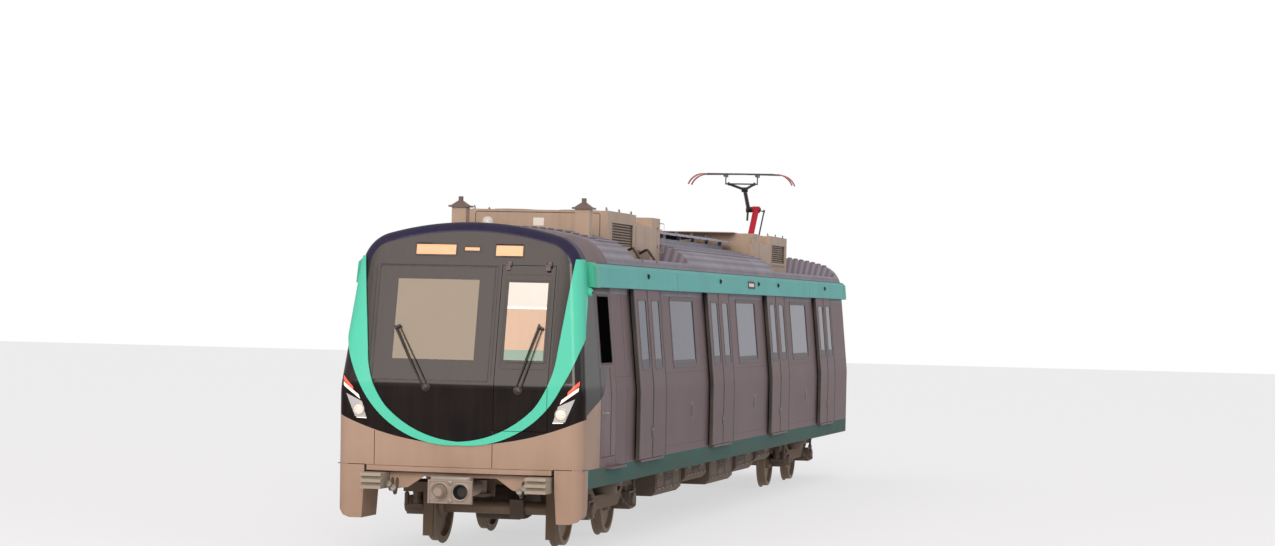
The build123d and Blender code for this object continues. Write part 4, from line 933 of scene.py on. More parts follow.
# Wipers: pivot and tip as (y, z)
wiperFacts = {"windscreen_wiper": ((-0.390, 1.930), (-0.790, 2.650), "carbody"),
              "emergency_door_wiper": ((0.690, 1.920), (0.925, 2.670), "emergency_door")}
wiperAxis = (1, 0, 0.1)


def makeWipers():
    for node, (foot, tip, body) in wiperFacts.items():
        shape = bmesh.new()
        reach = math.dist(foot, tip)
        ahead = ((tip[0] - foot[0]) / reach, (tip[1] - foot[1]) / reach)
        aside = (-ahead[1], ahead[0])

        def at(share, across, off):
            y = foot[0] + ahead[0] * reach * share + aside[0] * across
            z = foot[1] + ahead[1] * reach * share + aside[1] * across
            return Vector((skinX(y, z) + off, y, z))
        turnedShape(shape, at(0, 0, -0.008), wiperAxis, [(0, 0), (0.052, 0), (0.050, 0.016), (0.036, 0.022),
                                                         (0.030, 0.040), (0.012, 0.044), (0, 0.046)])
        for across in (-0.028, 0.026):
            tubeShape(shape, [at(0.0, across, 0.020), at(0.3, across * 0.95, 0.030), at(0.93, across * 0.6, 0.026)],
                      0.0062)
            turnedShape(shape, at(0, across, 0.030), wiperAxis, [(0, 0), (0.011, 0), (0.011, 0.008), (0, 0.010)], 12)
        # head plate that joins the rods, the blade's bridge and the blade
        tubeShape(shape, [at(0.95, -0.034, 0.026), at(0.95, 0.038, 0.026)], 0.017, 10)
        tubeShape(shape, [at(0.30, 0.034, 0.017), at(0.62, 0.036, 0.026), at(0.93, 0.026, 0.020),
                          at(0.99, 0.034, 0.017)], 0.006)
        section = ((0.030, 0.017), (0.0365, 0.0015), (0.039, 0.0015), (0.046, 0.017))
        loft(shape, [[at(share, across, off) for across, off in section] for share in steps(0.26, 1.0, 10)])
        wiper = piece(node + "_rods", shape, body, "black_trim", finish["black_trim"])
        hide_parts(node)


makeWipers()


def cameraPods():
    # small round pod under each end of the cantrail band
    shape = bmesh.new()
    podX, podZ = 10.175, 3.060
    for side in (1, -1):
        centre = Vector((podX, side * (wallY(podZ) + 0.030), podZ))
        aim = (0.25, side, -0.15)
        ball = [(0.052 * math.sin(a), -0.045 * math.cos(a)) for a in steps(0.35, 2.75, 9)]
        turnedShape(shape, centre, aim, [(0, -0.045)] + ball + [(0, 0.047)], 28)
        turnedShape(shape, centre + Vector((0.010, side * 0.040, -0.006)), aim,
                    [(0, 0), (0.016, 0), (0.013, 0.007), (0, 0.008)], 16, 1)
        tubeShape(shape, [(podX, side * (wallY(3.10) - 0.02), 3.115), (podX, side * (wallY(3.08) + 0.02), 3.095)],
                  0.024, 14)
    piece("camera_pods", shape, "carbody", "aqua_paint", finish["aqua_paint"], screenDark)


cameraPods()
print("front pieces made")

# Cantrail band: end caps, round lamps, indicator and joints
bandFacts = {"off": 0.095, "capFront": (9.830, 10.172), "capRear": (-10.622, -10.380), "lampZ": 3.282,
             "lamps": (6.985, 1.894, -1.319, -3.154, -8.074), "indicator": (-0.975, -0.425, 3.215, 3.305),
             "joints": (-6.390, 5.050)}


def bandTrim():
    for sideName, side in sides:
        place = onSide(side, bandFacts["off"])
        shape = bmesh.new()
        for x0, x1 in (bandFacts["capFront"], bandFacts["capRear"]):
            rings = []
            for x, swell in ((x0, 0.002), (x0 + 0.012, 0.007), (x1 - 0.014, 0.007), (x1, 0.001)):
                outline = ((wallY(3.12) - 0.010, 3.120 - swell), (wallY(3.12) + 0.095 + swell, 3.120 - swell),
                           (wallY(3.355) + 0.095 + swell, 3.357), (wallY(3.40) + 0.045 + swell, 3.400 + swell),
                           (wallY(3.40) - 0.045, 3.400 + swell), (wallY(3.40) - 0.050, 3.372))
                rings.append([Vector((x, side * y, z)) for y, z in outline])
            loft(shape, rings)
        piece("band_caps_" + sideName, shape, "carbody", "band_paint", endCapGreen)
        shape = bmesh.new()
        lampZ = bandFacts["lampZ"]
        for x in bandFacts["lamps"]:
            turnedShape(shape, place(x, lampZ, -0.004), (0, side, 0.09),
                        [(0, 0), (0.038, 0), (0.038, 0.007), (0.033, 0.010), (0, 0.010)], 28)
            turnedShape(shape, place(x, lampZ, 0.004), (0, side, 0.09),
                        [(0, 0), (0.030, 0), (0.030, 0.012), (0.022, 0.021), (0.010, 0.025), (0, 0.026)], 24, 1)
        piece("band_lamps_" + sideName, shape, "carbody", "black_trim", sealRubber, screenDark)
        shape = bmesh.new()
        x0, x1, z0, z1 = bandFacts["indicator"]
        frameShape(shape, roundedOutline(x0, x1, z0, z1, 0.012, 3), 0.020, 0.008, -0.004, 0.009, place, 2)
        patchShape(shape, steps(x0 + 0.01, x1 - 0.01, 6), [z0 + 0.01, z1 - 0.01], -0.003, 0.0025, place, 1)
        for x in bandFacts["joints"]:
            ribbonShape(shape, upright(x, steps(3.122, 3.352, 4)), 0.005, -0.002, 0.0008, place, 2)
        y, z = side * (wallY(3.40) + 0.044), 3.4005
        along = steps(bandFacts["capRear"][1], bandFacts["capFront"][0], 6)
        tubeShape(shape, [(x, y, z) for x in along], 0.006, 6, 2, 1)
        piece("band_indicator_" + sideName, shape, "carbody", "black_trim", reflectorSilver, pinkPanel, seamShadow)


bandTrim()

# Side windows and their rubbers
windowCentres = [centre - 2.535 for centre in doorCentres[:3]]
windowFacts = {"half": 0.835, "zs": (2.130, 3.030), "strip": 0.092, "inset": 0.03}


def windowTrim():
    low, high = windowFacts["zs"]
    inset = windowFacts["inset"]
    for sideName, side in sides:
        place = onSide(side)
        shape = bmesh.new()
        for centre in windowCentres:
            x0, x1 = centre - windowFacts["half"], centre + windowFacts["half"]
            frameShape(shape, roundedOutline(x0, x1, low, high, 0.075, 6), 0.034, 0.014, -0.006, 0.005, place, 1)
            frameShape(shape, roundedOutline(x0 + inset, x1 - inset, low + inset, high - inset, 0.055, 6), 0.012,
                       0.004, -0.006, 0.001, place, 1)
            patchShape(shape, steps(x0 + inset, x1 - inset, 6), [low + inset, low + windowFacts["strip"]], -0.0062,
                       -0.0036, place, 2)
            cornerFills(shape, (x0, x1, low, high), 0.075, inset, -0.006, -0.0035, place, 2)
        piece("window_rubbers_" + sideName, shape, "carbody", "black_trim", sealRubber, frameRubber, paneStrip)


windowTrim()


def wallRun(low, high, below, above):
    # heights up the wall with a short step across its bend
    return steps(low, 1.860, below) + steps(1.880, high, above)


# Sliding doors: rubbers, edge strips, lock plates and pulls
leafOff, sillY, releaseX = 0.060, 1.405, 4.030


def leafTrim(sideName, side, half):
    leaf = onSide(side, leafOff)
    body = "doors_" + sideName + "_" + half
    toward = 1 if half == "fore" else -1
    shape = bmesh.new()
    for centre, window in zip(doorCentres, leafWindows[half]):
        x0, x1, z0, z1 = window
        frameShape(shape, roundedOutline(*window, 0.055, 6), 0.022, 0.010, -0.004, 0.003, leaf, 4, 0.0012)
        cornerFills(shape, window, 0.055, 0.022, -0.0040, -0.0022, leaf, 1)
        patchShape(shape, steps(x0 + 0.02, x1 - 0.02, 3), [z0 + 0.02, z0 + 0.125], -0.0040, -0.0024, leaf, 1)
        meet = centre + toward * 0.0035
        far = centre + toward * (leafMeet + leafLength)
        heights = wallRun(1.040, 3.110, 6, 8)
        # the far edge's dark strip and its side are rubber, and also painted shade for the leaf's edge that stands off
        # the wall
        # x, width, from, to and material of the upright strips: meeting edge, far edge, its side, its joint
        for x, width, low, high, index in ((meet + toward * 0.008, 0.016, 0.0003, 0.0035, 0),
                                           (far - toward * 0.030, 0.056, 0.0003, 0.0030, 0),
                                           (far - toward * 0.005, 0.014, -0.040, 0.0034, 0),
                                           (far - toward * 0.066, 0.006, 0.0003, 0.0016, 2)):
            ribbonShape(shape, upright(x, heights), width, low, high, leaf, index)
        # kick strip along the foot
        along = steps(centre + toward * 0.03, far - toward * 0.09, 6)
        ribbonShape(shape, level(along, 1.062), 0.050, 0.0002, 0.0018, leaf, 5)
        if half == "fore":
            plate = roundedOutline(centre + 0.020, centre + 0.078, 1.290, 1.425, 0.008, 3)
            plateShape(shape, plate, 0.0002, 0.006, leaf, 3)
            turnedShape(shape, leaf(centre + 0.049, 1.385, 0.005), (0, side, 0),
                        [(0, 0), (0.017, 0), (0.016, 0.005), (0.009, 0.006), (0, 0.003)], 18, 2)
            for z in (1.303, 1.412):
                turnedShape(shape, leaf(centre + 0.030, z, 0.005), (0, side, 0),
                            [(0, 0), (0.005, 0), (0.004, 0.003), (0, 0.0035)], 8, 2)
        else:
            plate = roundedOutline(centre - 0.050, centre - 0.018, 1.300, 1.400, 0.007, 3)
            plateShape(shape, plate, 0.0002, 0.004, leaf, 3)
    piece(body + "_rubbers", shape, body, "black_trim", sealRubber, paneStrip, boltSteel, finish["black_trim"],
          frameRubber, finish["body_steel"])


def sided(side, a, b):
    # two distances from the middle as y from and to on that side
    return sorted((side * a, side * b))


def doorTrim():
    for sideName, side in sides:
        wall = onSide(side)
        for half in leafWindows:
            leafTrim(sideName, side, half)
        # dark rubber strips on the wall at the ends of each pair, partly painted shade for the gap beside each leaf's
        # edge, and the sill's tread ridges
        shape = bmesh.new()
        for centre in doorCentres:
            for toward in (1, -1):
                strip = upright(centre + toward * 0.896, wallRun(1.035, 3.100, 6, 8))
                ribbonShape(shape, strip, 0.078, 0.0003, 0.003, wall)
            for y in (sillY + 0.014 * k for k in range(4)):
                boxShape(shape, centre - 0.66, centre + 0.66, *sided(side, y, y + 0.006), 1.1295, 1.1325, 0.0, 1)
        piece("door_seal_shade_strips_" + sideName, shape, "carbody", "black_trim", sealRubber, boltSteel)
        # recessed pull of the emergency release on the wall between two doors
        shape = bmesh.new()
        for x in (releaseX - doorPitch * i for i in range(3)):
            frameShape(shape, roundedOutline(x - 0.024, x + 0.024, 1.440, 1.642, 0.022, 5), 0.003, 0.008, 0.0002,
                       0.004, wall)
            plateShape(shape, roundedOutline(x - 0.022, x + 0.022, 1.442, 1.640, 0.021, 5), 0.0002, 0.0012, wall, 1,
                       0.0004)
            tubeShape(shape, [wall(x, 1.455, 0.002), wall(x, 1.475, 0.010), wall(x, 1.607, 0.010),
                              wall(x, 1.627, 0.002)], 0.0055)
        piece("release_pulls_" + sideName, shape, "carbody", "bright_steel", boltSteel, seamShadow)


doorTrim()

# The mask's black runs on under the cab window, over the door and the shell in front of it
sweepOnDoor = [cornered((9.735, 1.872), (9.735, 2.190), (9.352, 2.190), (9.363, 2.150), (9.400, 2.086),
                        (9.442, 2.037), (9.540, 1.945), (9.641, 1.872)),
               cornered((9.641, 1.8718), (9.735, 1.838), (9.735, 1.8718))]
sweepOnShell = [cornered((9.797, 1.872), (9.797, 3.090), (9.757, 3.090), (9.757, 1.872)),
                cornered((9.757, 1.831), (9.797, 1.817), (9.797, 1.8718), (9.757, 1.8718))]
# welded seams beside the doors, as heights, and the joints to the cab shell, as x
seamZ, lowSeamZ, cabSeams = 2.060, 1.120, (8.901, 8.300)


def wallSeams():
    for sideName, side in sides:
        wall = onSide(side)
        shape = bmesh.new()
        for x in cabSeams:
            ribbonShape(shape, upright(x, wallRun(1.025, 3.110, 5, 7)), 0.005, -0.002, 0.0009, wall)
        runs = [(steps(7.95, 8.89, 3), seamZ)]
        for fore, aft in zip(doorCentres, doorCentres[1:]):
            along = steps(aft + 0.95, fore - 0.95, 8)
            runs += [(along, seamZ), (along, lowSeamZ)]
        for along, z in runs + [(steps(-10.66, -9.02, 5), seamZ)]:
            ribbonShape(shape, level(along, z), 0.0035, -0.001, 0.0006, wall)
        piece("wall_seams_" + sideName, shape, "carbody", "black_trim", seamShadow)
        # window rubber, lock, long grip, guard strip and the black above the window
        shape = bmesh.new()
        frameShape(shape, roundedOutline(*cabWindow, 0.030, 4), 0.016, 0.010, -0.005, 0.004, wall)
        turnedShape(shape, wall(9.660, 1.655, 0.0), (0, side, 0),
                    [(0, 0), (0.024, 0), (0.023, 0.007), (0.012, 0.009), (0, 0.009)], 20, 1)
        tubeShape(shape, [wall(9.660, 1.655, 0.004), wall(9.655, 1.655, 0.042), wall(9.600, 1.655, 0.046),
                          wall(9.550, 1.655, 0.044)], 0.009, 10, 1)
        ribbonShape(shape, upright(9.205, (1.130, 1.50, 1.86, 1.875, 2.180)), 0.030, 0.0002, 0.0035, wall)
        ribbonShape(shape, level(steps(*cabWindow[:2], 4), 3.055), 0.042, 0.0002, 0.0020, wall, 2)
        piece("cab_door_fittings_" + sideName, shape, "cab_door_" + sideName, "black_trim", sealRubber, boltSteel,
              fritBlack)
        for name, body, outlines in (("cab_door_sweep_", "cab_door_" + sideName, sweepOnDoor),
                                     ("cab_shell_sweep_", "carbody", sweepOnShell)):
            shape = bmesh.new()
            for outline in outlines:
                plateShape(shape, outline, 0.0002, 0.0014, wall, 0, 0.0006)
            piece(name + sideName, shape, body, "mask_gloss", finish["mask_gloss"])
        shape = bmesh.new()
        ribbonShape(shape, level(steps(8.93, 9.77, 6), 3.096), 0.012, -0.001, 0.016, wall)
        piece("cab_rain_lip_" + sideName, shape, "carbody", "black_trim", sealRubber)


wallSeams()
print("side pieces made")


# Geometry Nodes trees for what repeats: each puts one item on every point, turned to the point's aim
def geoTree(name, **inputs):
    tree = bpy.data.node_groups.new(name, "GeometryNodeTree")
    tree.interface.new_socket("Points", in_out="INPUT", socket_type="NodeSocketGeometry")
    kinds = {int: "NodeSocketInt", float: "NodeSocketFloat", str: "NodeSocketMaterial"}
    for label, value in inputs.items():
        socket = tree.interface.new_socket(label, in_out="INPUT", socket_type=kinds[type(value)])
        if not isinstance(value, str):
            socket.default_value = value
    tree.interface.new_socket("Geometry", in_out="OUTPUT", socket_type="NodeSocketGeometry")
    given = tree.nodes.new("NodeGroupInput").outputs
    return tree, [Wire(given[label]) for label in ("Points", *inputs)]


def geo(tree, kind, given=None, **settings):
    return wire(tree, "GeometryNode" + kind, given, **settings)


def vectorOf(tree, x=0.0, y=0.0, z=0.0):
    return wire(tree, "ShaderNodeCombineXYZ", {0: x, 1: y, 2: z})


def moved(shape, **amounts):
    return geo(shape.tree, "Transform", {"Geometry": shape, "Translation": vectorOf(shape.tree, **amounts)})


def joined(*shapes):
    node = shapes[0].tree.nodes.new("GeometryNodeJoinGeometry")
    for shape in shapes:
        fill(node.inputs, {0: shape})
    return Wire(node.outputs[0])


def coloured(shape, material):
    return geo(shape.tree, "SetMaterial", {"Geometry": shape, "Material": material})


def drum(tree, sides, radius, depth):
    return geo(tree, "MeshCylinder", {"Vertices": sides, "Radius": radius, "Depth": depth})


def roundWire(tree, resolution, radius):
    return geo(tree, "CurvePrimitiveCircle", {"Resolution": resolution, "Radius": radius})


def bar(tree, start, end):
    return geo(tree, "CurvePrimitiveLine", {"Start": start, "End": end})


def copiesOn(points, item, **more):
    return geo(points.tree, "InstanceOnPoints", {"Points": points, "Instance": item, **more})


def onPoints(points, item, spin=None):
    tree = points.tree
    aim = geo(tree, "InputNamedAttribute", {"Name": "aim"}, data_type="FLOAT_VECTOR")
    turn = wire(tree, "FunctionNodeAlignRotationToVector", {"Vector": aim}, axis="Z")
    if spin is not None:
        turn = wire(tree, "FunctionNodeRotateRotation", {0: turn, 1: vectorOf(tree, z=spin)}, rotation_space="LOCAL")
    made = geo(tree, "RealizeInstances", {"Geometry": copiesOn(points, item, Rotation=turn)})
    fill(tree.nodes.new("NodeGroupOutput").inputs, {0: made})
    return tree


def boltHeads():
    # washer, six-sided head and its chamfered top, each turned by chance
    tree, (points, radius, height, seed, steel) = geoTree("boltHeads", Radius=0.01, Height=0.006, Seed=3, Steel="")
    washer = drum(tree, 16, radius * 1.55, height * 0.5)
    head = moved(drum(tree, 6, radius, height), z=height * 0.7)
    top = geo(tree, "MeshCone", {"Vertices": 12, "Radius Top": radius * 0.6, "Radius Bottom": radius * 0.84,
                                 "Depth": height * 0.3})
    chance = wire(tree, "FunctionNodeRandomValue", {"Seed": seed}, 1, data_type="FLOAT")
    return onPoints(points, coloured(joined(washer, head, moved(top, z=height * 1.15)), steel), chance * 6.283)


def slatStacks():
    # a stack of leaning slats with rounded edges, Length along the item's X, stacked along its Y
    tree, (points, count, step, length, depth, thickness, lean, look) = geoTree(
        "slatStacks", Count=8, Step=0.04, Length=1.3, Depth=0.03, Thickness=0.006, Lean=0.6, Paint="")
    section = geo(tree, "CurvePrimitiveQuadrilateral", {"Width": thickness, "Height": depth})
    section = geo(tree, "FilletCurve", {"Curve": section, "Count": 2, "Radius": thickness * 0.3}, mode="POLY")
    core = bar(tree, vectorOf(tree, x=length * -0.5), vectorOf(tree, x=length * 0.5))
    slat = geo(tree, "CurveToMesh", {"Curve": core, "Profile Curve": section, "Fill Caps": True})
    slat = geo(tree, "Transform", {"Geometry": slat, "Rotation": vectorOf(tree, x=lean)})
    first = step * (count - 1.0) * -0.5
    row = geo(tree, "MeshLine", {"Count": count, "Offset": vectorOf(tree, y=step),
                                 "Start Location": vectorOf(tree, y=first)})
    return onPoints(points, coloured(copiesOn(row, slat), look))


def shedStacks():
    # glazed insulator sheds round a core
    tree, (points, count, step, radius, coreRadius, glaze) = geoTree(
        "shedStacks", Count=4, Step=0.034, Radius=0.085, Core=0.056, Glaze="")
    shed = geo(tree, "MeshCone", {"Vertices": 28, "Radius Top": coreRadius, "Radius Bottom": radius,
                                  "Depth": step * 0.5})
    shed = joined(moved(shed, z=step * 0.34), drum(tree, 28, radius, step * 0.18))
    row = geo(tree, "MeshLine", {"Count": count, "Offset": vectorOf(tree, z=step)})
    core = moved(drum(tree, 24, coreRadius, step * count), z=step * ((count - 1.0) * 0.5))
    return onPoints(points, coloured(joined(copiesOn(row, shed), core), glaze))


def fanGuards():
    # rings of wire on radial bars
    tree, (points, ringCount, barCount, radius, thickness, steel) = geoTree(
        "fanGuards", Rings=7, Bars=8, Radius=0.36, Wire=0.004, Steel="")
    index = geo(tree, "InputIndex")
    size = (index + 1.0) / ringCount * radius
    rows = [geo(tree, "MeshLine", {"Count": count, "Offset": (0.0, 0.0, 0.0)}) for count in (ringCount, barCount)]
    rings = copiesOn(rows[0], roundWire(tree, 48, 1.0), Scale=vectorOf(tree, size, size, 1.0))
    spoke = bar(tree, vectorOf(tree, x=0.02), vectorOf(tree, x=radius))
    spokes = copiesOn(rows[1], spoke, Rotation=vectorOf(tree, z=index / barCount * 6.2832))
    lines = geo(tree, "RealizeInstances", {"Geometry": joined(rings, spokes)})
    guard = geo(tree, "CurveToMesh", {"Curve": lines, "Profile Curve": roundWire(tree, 6, thickness),
                                      "Fill Caps": True})
    return onPoints(points, coloured(guard, steel))


def strapHandles():
    # hanging strap with a rounded three-sided ring; its X points up
    tree, (points, drop, ringRadius, web, plastic) = geoTree("strapHandles", Drop=0.16, Ring=0.062, Web="", Plastic="")
    ring = geo(tree, "Transform", {"Geometry": roundWire(tree, 3, ringRadius), "Rotation": (0.0, 0.0, math.pi)})
    ring = geo(tree, "FilletCurve", {"Curve": ring, "Count": 5, "Radius": 0.024}, mode="POLY")
    ring = geo(tree, "CurveToMesh", {"Curve": ring, "Profile Curve": roundWire(tree, 8, 0.009)})
    ring = moved(ring, x=drop * -1.0 - 0.03)
    strap = bar(tree, (0.016, 0.0, 0.0), vectorOf(tree, x=drop * -1.0))
    band = geo(tree, "CurvePrimitiveQuadrilateral", {"Width": 0.030, "Height": 0.005})
    strap = geo(tree, "CurveToMesh", {"Curve": strap, "Profile Curve": band, "Fill Caps": True})
    sleeve = drum(tree, 16, 0.024, 0.036)
    return onPoints(points, joined(coloured(ring, plastic), coloured(joined(strap, sleeve), web)))


def grow(name, tree, spots, body, slotName, **values):
    # spots are (place, aim) pairs; the grown mesh is kept and its modifier goes
    cloud = bpy.data.meshes.new(name + "Points")
    cloud.from_pydata([tuple(place) for place, aim in spots], [], [])
    aims = cloud.attributes.new("aim", "FLOAT_VECTOR", "POINT")
    for datum, (place, aim) in zip(aims.data, spots):
        datum.vector = Vector(aim).normalized()
    holder = bpy.data.objects.new(name, cloud)
    scene.collection.objects.link(holder)
    grower = holder.modifiers.new("grow", "NODES")
    grower.node_group = tree
    for item in tree.interface.items_tree:
        if item.in_out == "INPUT" and item.name in values:
            grower[item.identifier] = values[item.name]
    grown = bpy.data.meshes.new_from_object(holder.evaluated_get(bpy.context.evaluated_depsgraph_get()))
    holder.modifiers.clear()
    grown.name = name
    holder.data = grown
    smoothed(grown)
    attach(holder, body)


def boltsOn(name, spots, body, slotName, radius=0.009, height=0.006):
    grow(name, boltTree, spots, body, slotName, Radius=radius, Height=height, Steel=boltSteel)


boltTree, slatTree, shedTree = boltHeads(), slatStacks(), shedStacks()
fanTree, strapTree = fanGuards(), strapHandles()


# Roof units: x of the open grille part from and to, and the end that its lid is turned from
unitFacts = {"front": (5.520, 6.850, 1), "rear": (-6.890, -5.560, -1)}
unitSide, unitTop, unitFront = 0.900, 4.090, 7.080


def unitTrim(name, x0, x1, turn):
    middle = (x0 + x1) / 2
    stacks = [((middle, side * 0.889, 3.810), (0, side, 0)) for side in (1, -1)]
    grow("unit_slats_" + name, slatTree, stacks, "carbody", "roof_metal", Count=9, Step=0.034,
         Length=x1 - x0 - 0.03, Depth=0.022, Thickness=0.005, Lean=0.7, Paint=grilleDark)
    fans = [((middle + 0.33 * k, 0.42 * side, 4.102), (0, 0, 1)) for k in (-1, 1) for side in (1, -1)]
    grow("unit_fans_" + name, fanTree, fans, "carbody", "roof_metal", Radius=0.27, Wire=0.004, Steel=boltSteel)
    # rims and hubs of the fans
    shape = bmesh.new()
    for (x, y, z), aim in fans:
        turnedShape(shape, (x, y, 4.0902), aim, [(0, 0), (0.290, 0), (0.290, 0.010), (0.276, 0.014),
                                                 (0.268, 0.004), (0, 0.004)], 40)
        turnedShape(shape, (x, y, 4.094), aim, [(0, 0), (0.055, 0), (0.050, 0.008), (0, 0.010)], 20, 1)
    # frame of the grille, door joint and latches on each side
    tailX, latchZ = middle - turn * 2.49, 3.835
    for side in (1, -1):
        wall = onFlatY(unitSide, side)
        frameShape(shape, roundedOutline(x0, x1, 3.652, 3.968, 0.010, 2), 0.018, 0.016, -0.004, 0.006, wall, 1)
        frameShape(shape, roundedOutline(tailX - 0.24, tailX + 0.24, 3.640, 4.030, 0.02, 3), 0.006, 0.006,
                   0.0002, 0.004, wall, 1)
        for dz in (-0.12, 0.12):
            boxShape(shape, tailX + 0.17, tailX + 0.215, side * 0.9005, side * 0.914, latchZ + dz - 0.02,
                     latchZ + dz + 0.02, 0.003, 2)
    # lifting eyes and lid
    for x in (x0 - 0.09, x1 + 0.10, middle):
        for y in (-0.85, 0.85):
            tubeShape(shape, [(x - 0.035, y, 4.088), (x - 0.030, y, 4.118), (x, y, 4.134), (x + 0.030, y, 4.118),
                              (x + 0.035, y, 4.088)], 0.007, 8, 2)
    lid = roundedOutline(*sorted((middle - turn * 2.23, middle - turn * 2.75)), -0.62, 0.62, 0.03, 3)
    plateShape(shape, lid, 0.0002, 0.012, onTop(unitTop), 1, 0.004)
    piece("unit_trim_" + name, shape, "carbody", "roof_metal", grilleDark, finish["unit_paint"], boltSteel)
    bolts = []
    for side in (1, -1):
        for x in steps(x0 - 0.06, x1 + 0.06, 14):
            bolts += [((x, side * 0.861, unitTop + 0.0005), (0, 0, 1)), ((x, side * 0.9005, 3.615), (0, side, 0))]
    boltsOn("unit_bolts_" + name, bolts, "carbody", "bright_steel")


def roofUnitTrim():
    for name, facts in unitFacts.items():
        unitTrim(name, *facts)
    # hoses from the front unit over the roof's edge, the blank plate on its front, and the dome behind the cab
    shape = bmesh.new()
    for x in (6.67, 5.73):
        tubeShape(shape, [(x - 0.70, 0.90, 3.60), (x - 0.55, 1.02, 3.645), (x - 0.25, 1.13, 3.590), (x, 1.25, 3.487),
                          (x + 0.02, 1.26, 3.470)], 0.017, 10, 0, 4)
    piece("unit_hoses", shape, "carbody", "black_trim", hoseRubber)
    shape = bmesh.new()
    plateShape(shape, roundedOutline(-0.055, 0.083, 3.890, 3.990, 0.010, 3), 0.0002, 0.004, onFlatX(unitFront))
    frameShape(shape, roundedOutline(-0.80, 0.80, 3.620, 4.060, 0.03, 4), 0.006, 0.004, 0.0002, 0.003,
               onFlatX(unitFront), 1)
    piece("unit_blank_plate", shape, "carbody", "unit_paint", blindCloth, grilleDark)
    shape = bmesh.new()
    turnedShape(shape, (9.300, -0.080, 3.850), (0, 0, 1), [(0, 0), (0.062, 0), (0.062, 0.030), (0.056, 0.056),
                                                           (0.038, 0.076), (0.018, 0.084), (0, 0.086)], 32)
    piece("aerial_dome", shape, "carbody", "aerial_plastic", finish["aerial_plastic"])


roofUnitTrim()

# Covers on rails: x from and to of each, the height and slope of their two halves
coverFacts = {"spans": ((-3.560, 1.230), (1.330, 2.400)), "panel": 1.2, "ridgeZ": 4.0182, "slope": 0.10833}


def roofCoverTrim():
    # folds between the covers' panels, and latches and a handle on each half panel
    def onCover(x, y, off):
        return Vector((x, y, coverFacts["ridgeZ"] - abs(y) * coverFacts["slope"] + off))
    shape = bmesh.new()
    for x0, x1 in coverFacts["spans"]:
        panels = max(1, round((x1 - x0) / coverFacts["panel"]))
        for i in range(1, panels):
            x = x0 + (x1 - x0) * i / panels
            for side in (1, -1):
                ribbonShape(shape, [(x, side * 0.01), (x, side * 0.58)], 0.05, 0.0, 0.006, onCover)
        for i in range(panels):
            x = x0 + (x1 - x0) * (i + 0.5) / panels
            for side in (1, -1):
                for dx in (-0.3, 0.3):
                    boxShape(shape, x + dx - 0.04, x + dx + 0.04, *sided(side, 0.599, 0.612), 3.930, 3.950, 0.004, 1)
                y, z = side * 0.30, 4.0185 - 0.30 * coverFacts["slope"]
                tubeShape(shape, [(x - 0.07, y, z - 0.003), (x - 0.06, y, z + 0.030), (x + 0.06, y, z + 0.030),
                                  (x + 0.07, y, z - 0.003)], 0.006, 8, 1)
    piece("cover_folds", shape, "carbody", "cover_paint", finish["cover_paint"], boltSteel)


roofCoverTrim()


# Pantograph: insulator sheds, carbon strips, raising spring box and shunts
postSpots = [(x, y) for x in (-9.250, -7.750) for y in (-0.42, 0.42)]
headX = -7.790


def pantographTrim():
    grow("insulator_sheds", shedTree, [((x, y, 3.553), (0, 0, 1)) for x, y in postSpots], "carbody", "roof_metal",
         Count=4, Step=0.034, Radius=0.088, Core=0.0515, Glaze=insulatorBrown)
    bolts = [((x + dx, y + dy, 3.800), (0, 0, 1)) for x, y in postSpots for dx in (-0.022, 0.022)
             for dy in (-0.045, 0.045)]
    boltsOn("pantograph_base_bolts", bolts, "carbody", "roof_metal", 0.011, 0.008)
    # carbon strip in its thin holder along each bow: half length, from, to, width
    shape = bmesh.new()
    for x in (headX - 0.170 + 0.021, headX + 0.128 + 0.021):
        for index, (half, low, high, wide) in enumerate(((0.560, 5.1835, 5.1895, 0.030),
                                                         (0.585, 5.176, 5.184, 0.040))):
            boxShape(shape, x - wide / 2, x + wide / 2, -half, half, low, high, 0.0015, index)
    piece("carbon_strips", shape, "pantograph_head", "roof_metal", carbonStrip, boltSteel)
    # spring box with its bellows, and the shunt beside it
    shape = bmesh.new()
    bellows = [(radius, 0.03 + 0.015 * k) for k, radius in enumerate((0.062, 0.050, 0.062, 0.050, 0.062, 0.050))]
    turnedShape(shape, (-8.040, 0, 3.850), (-1, 0, 0), [(0, -0.10), (0.046, -0.10), (0.050, -0.09), (0.050, 0.02),
                *bellows, (0.044, 0.12), (0.012, 0.12), (0.012, 0.16), (0, 0.16)])
    tubeShape(shape, [(-7.90, -0.20, 3.80), (-7.90, -0.30, 3.88), (-7.80, -0.36, 3.84), (-7.76, -0.40, 3.80)],
              0.010, 8, 1, 4)
    piece("pantograph_raiser", shape, "carbody", "roof_metal", finish["roof_metal"], hoseRubber)


pantographTrim()
print("roof pieces made")

# Under the bumper: ledge, draft plate, air hoses and the coupler's face
couplerFace, couplerZ = 11.080, 0.757


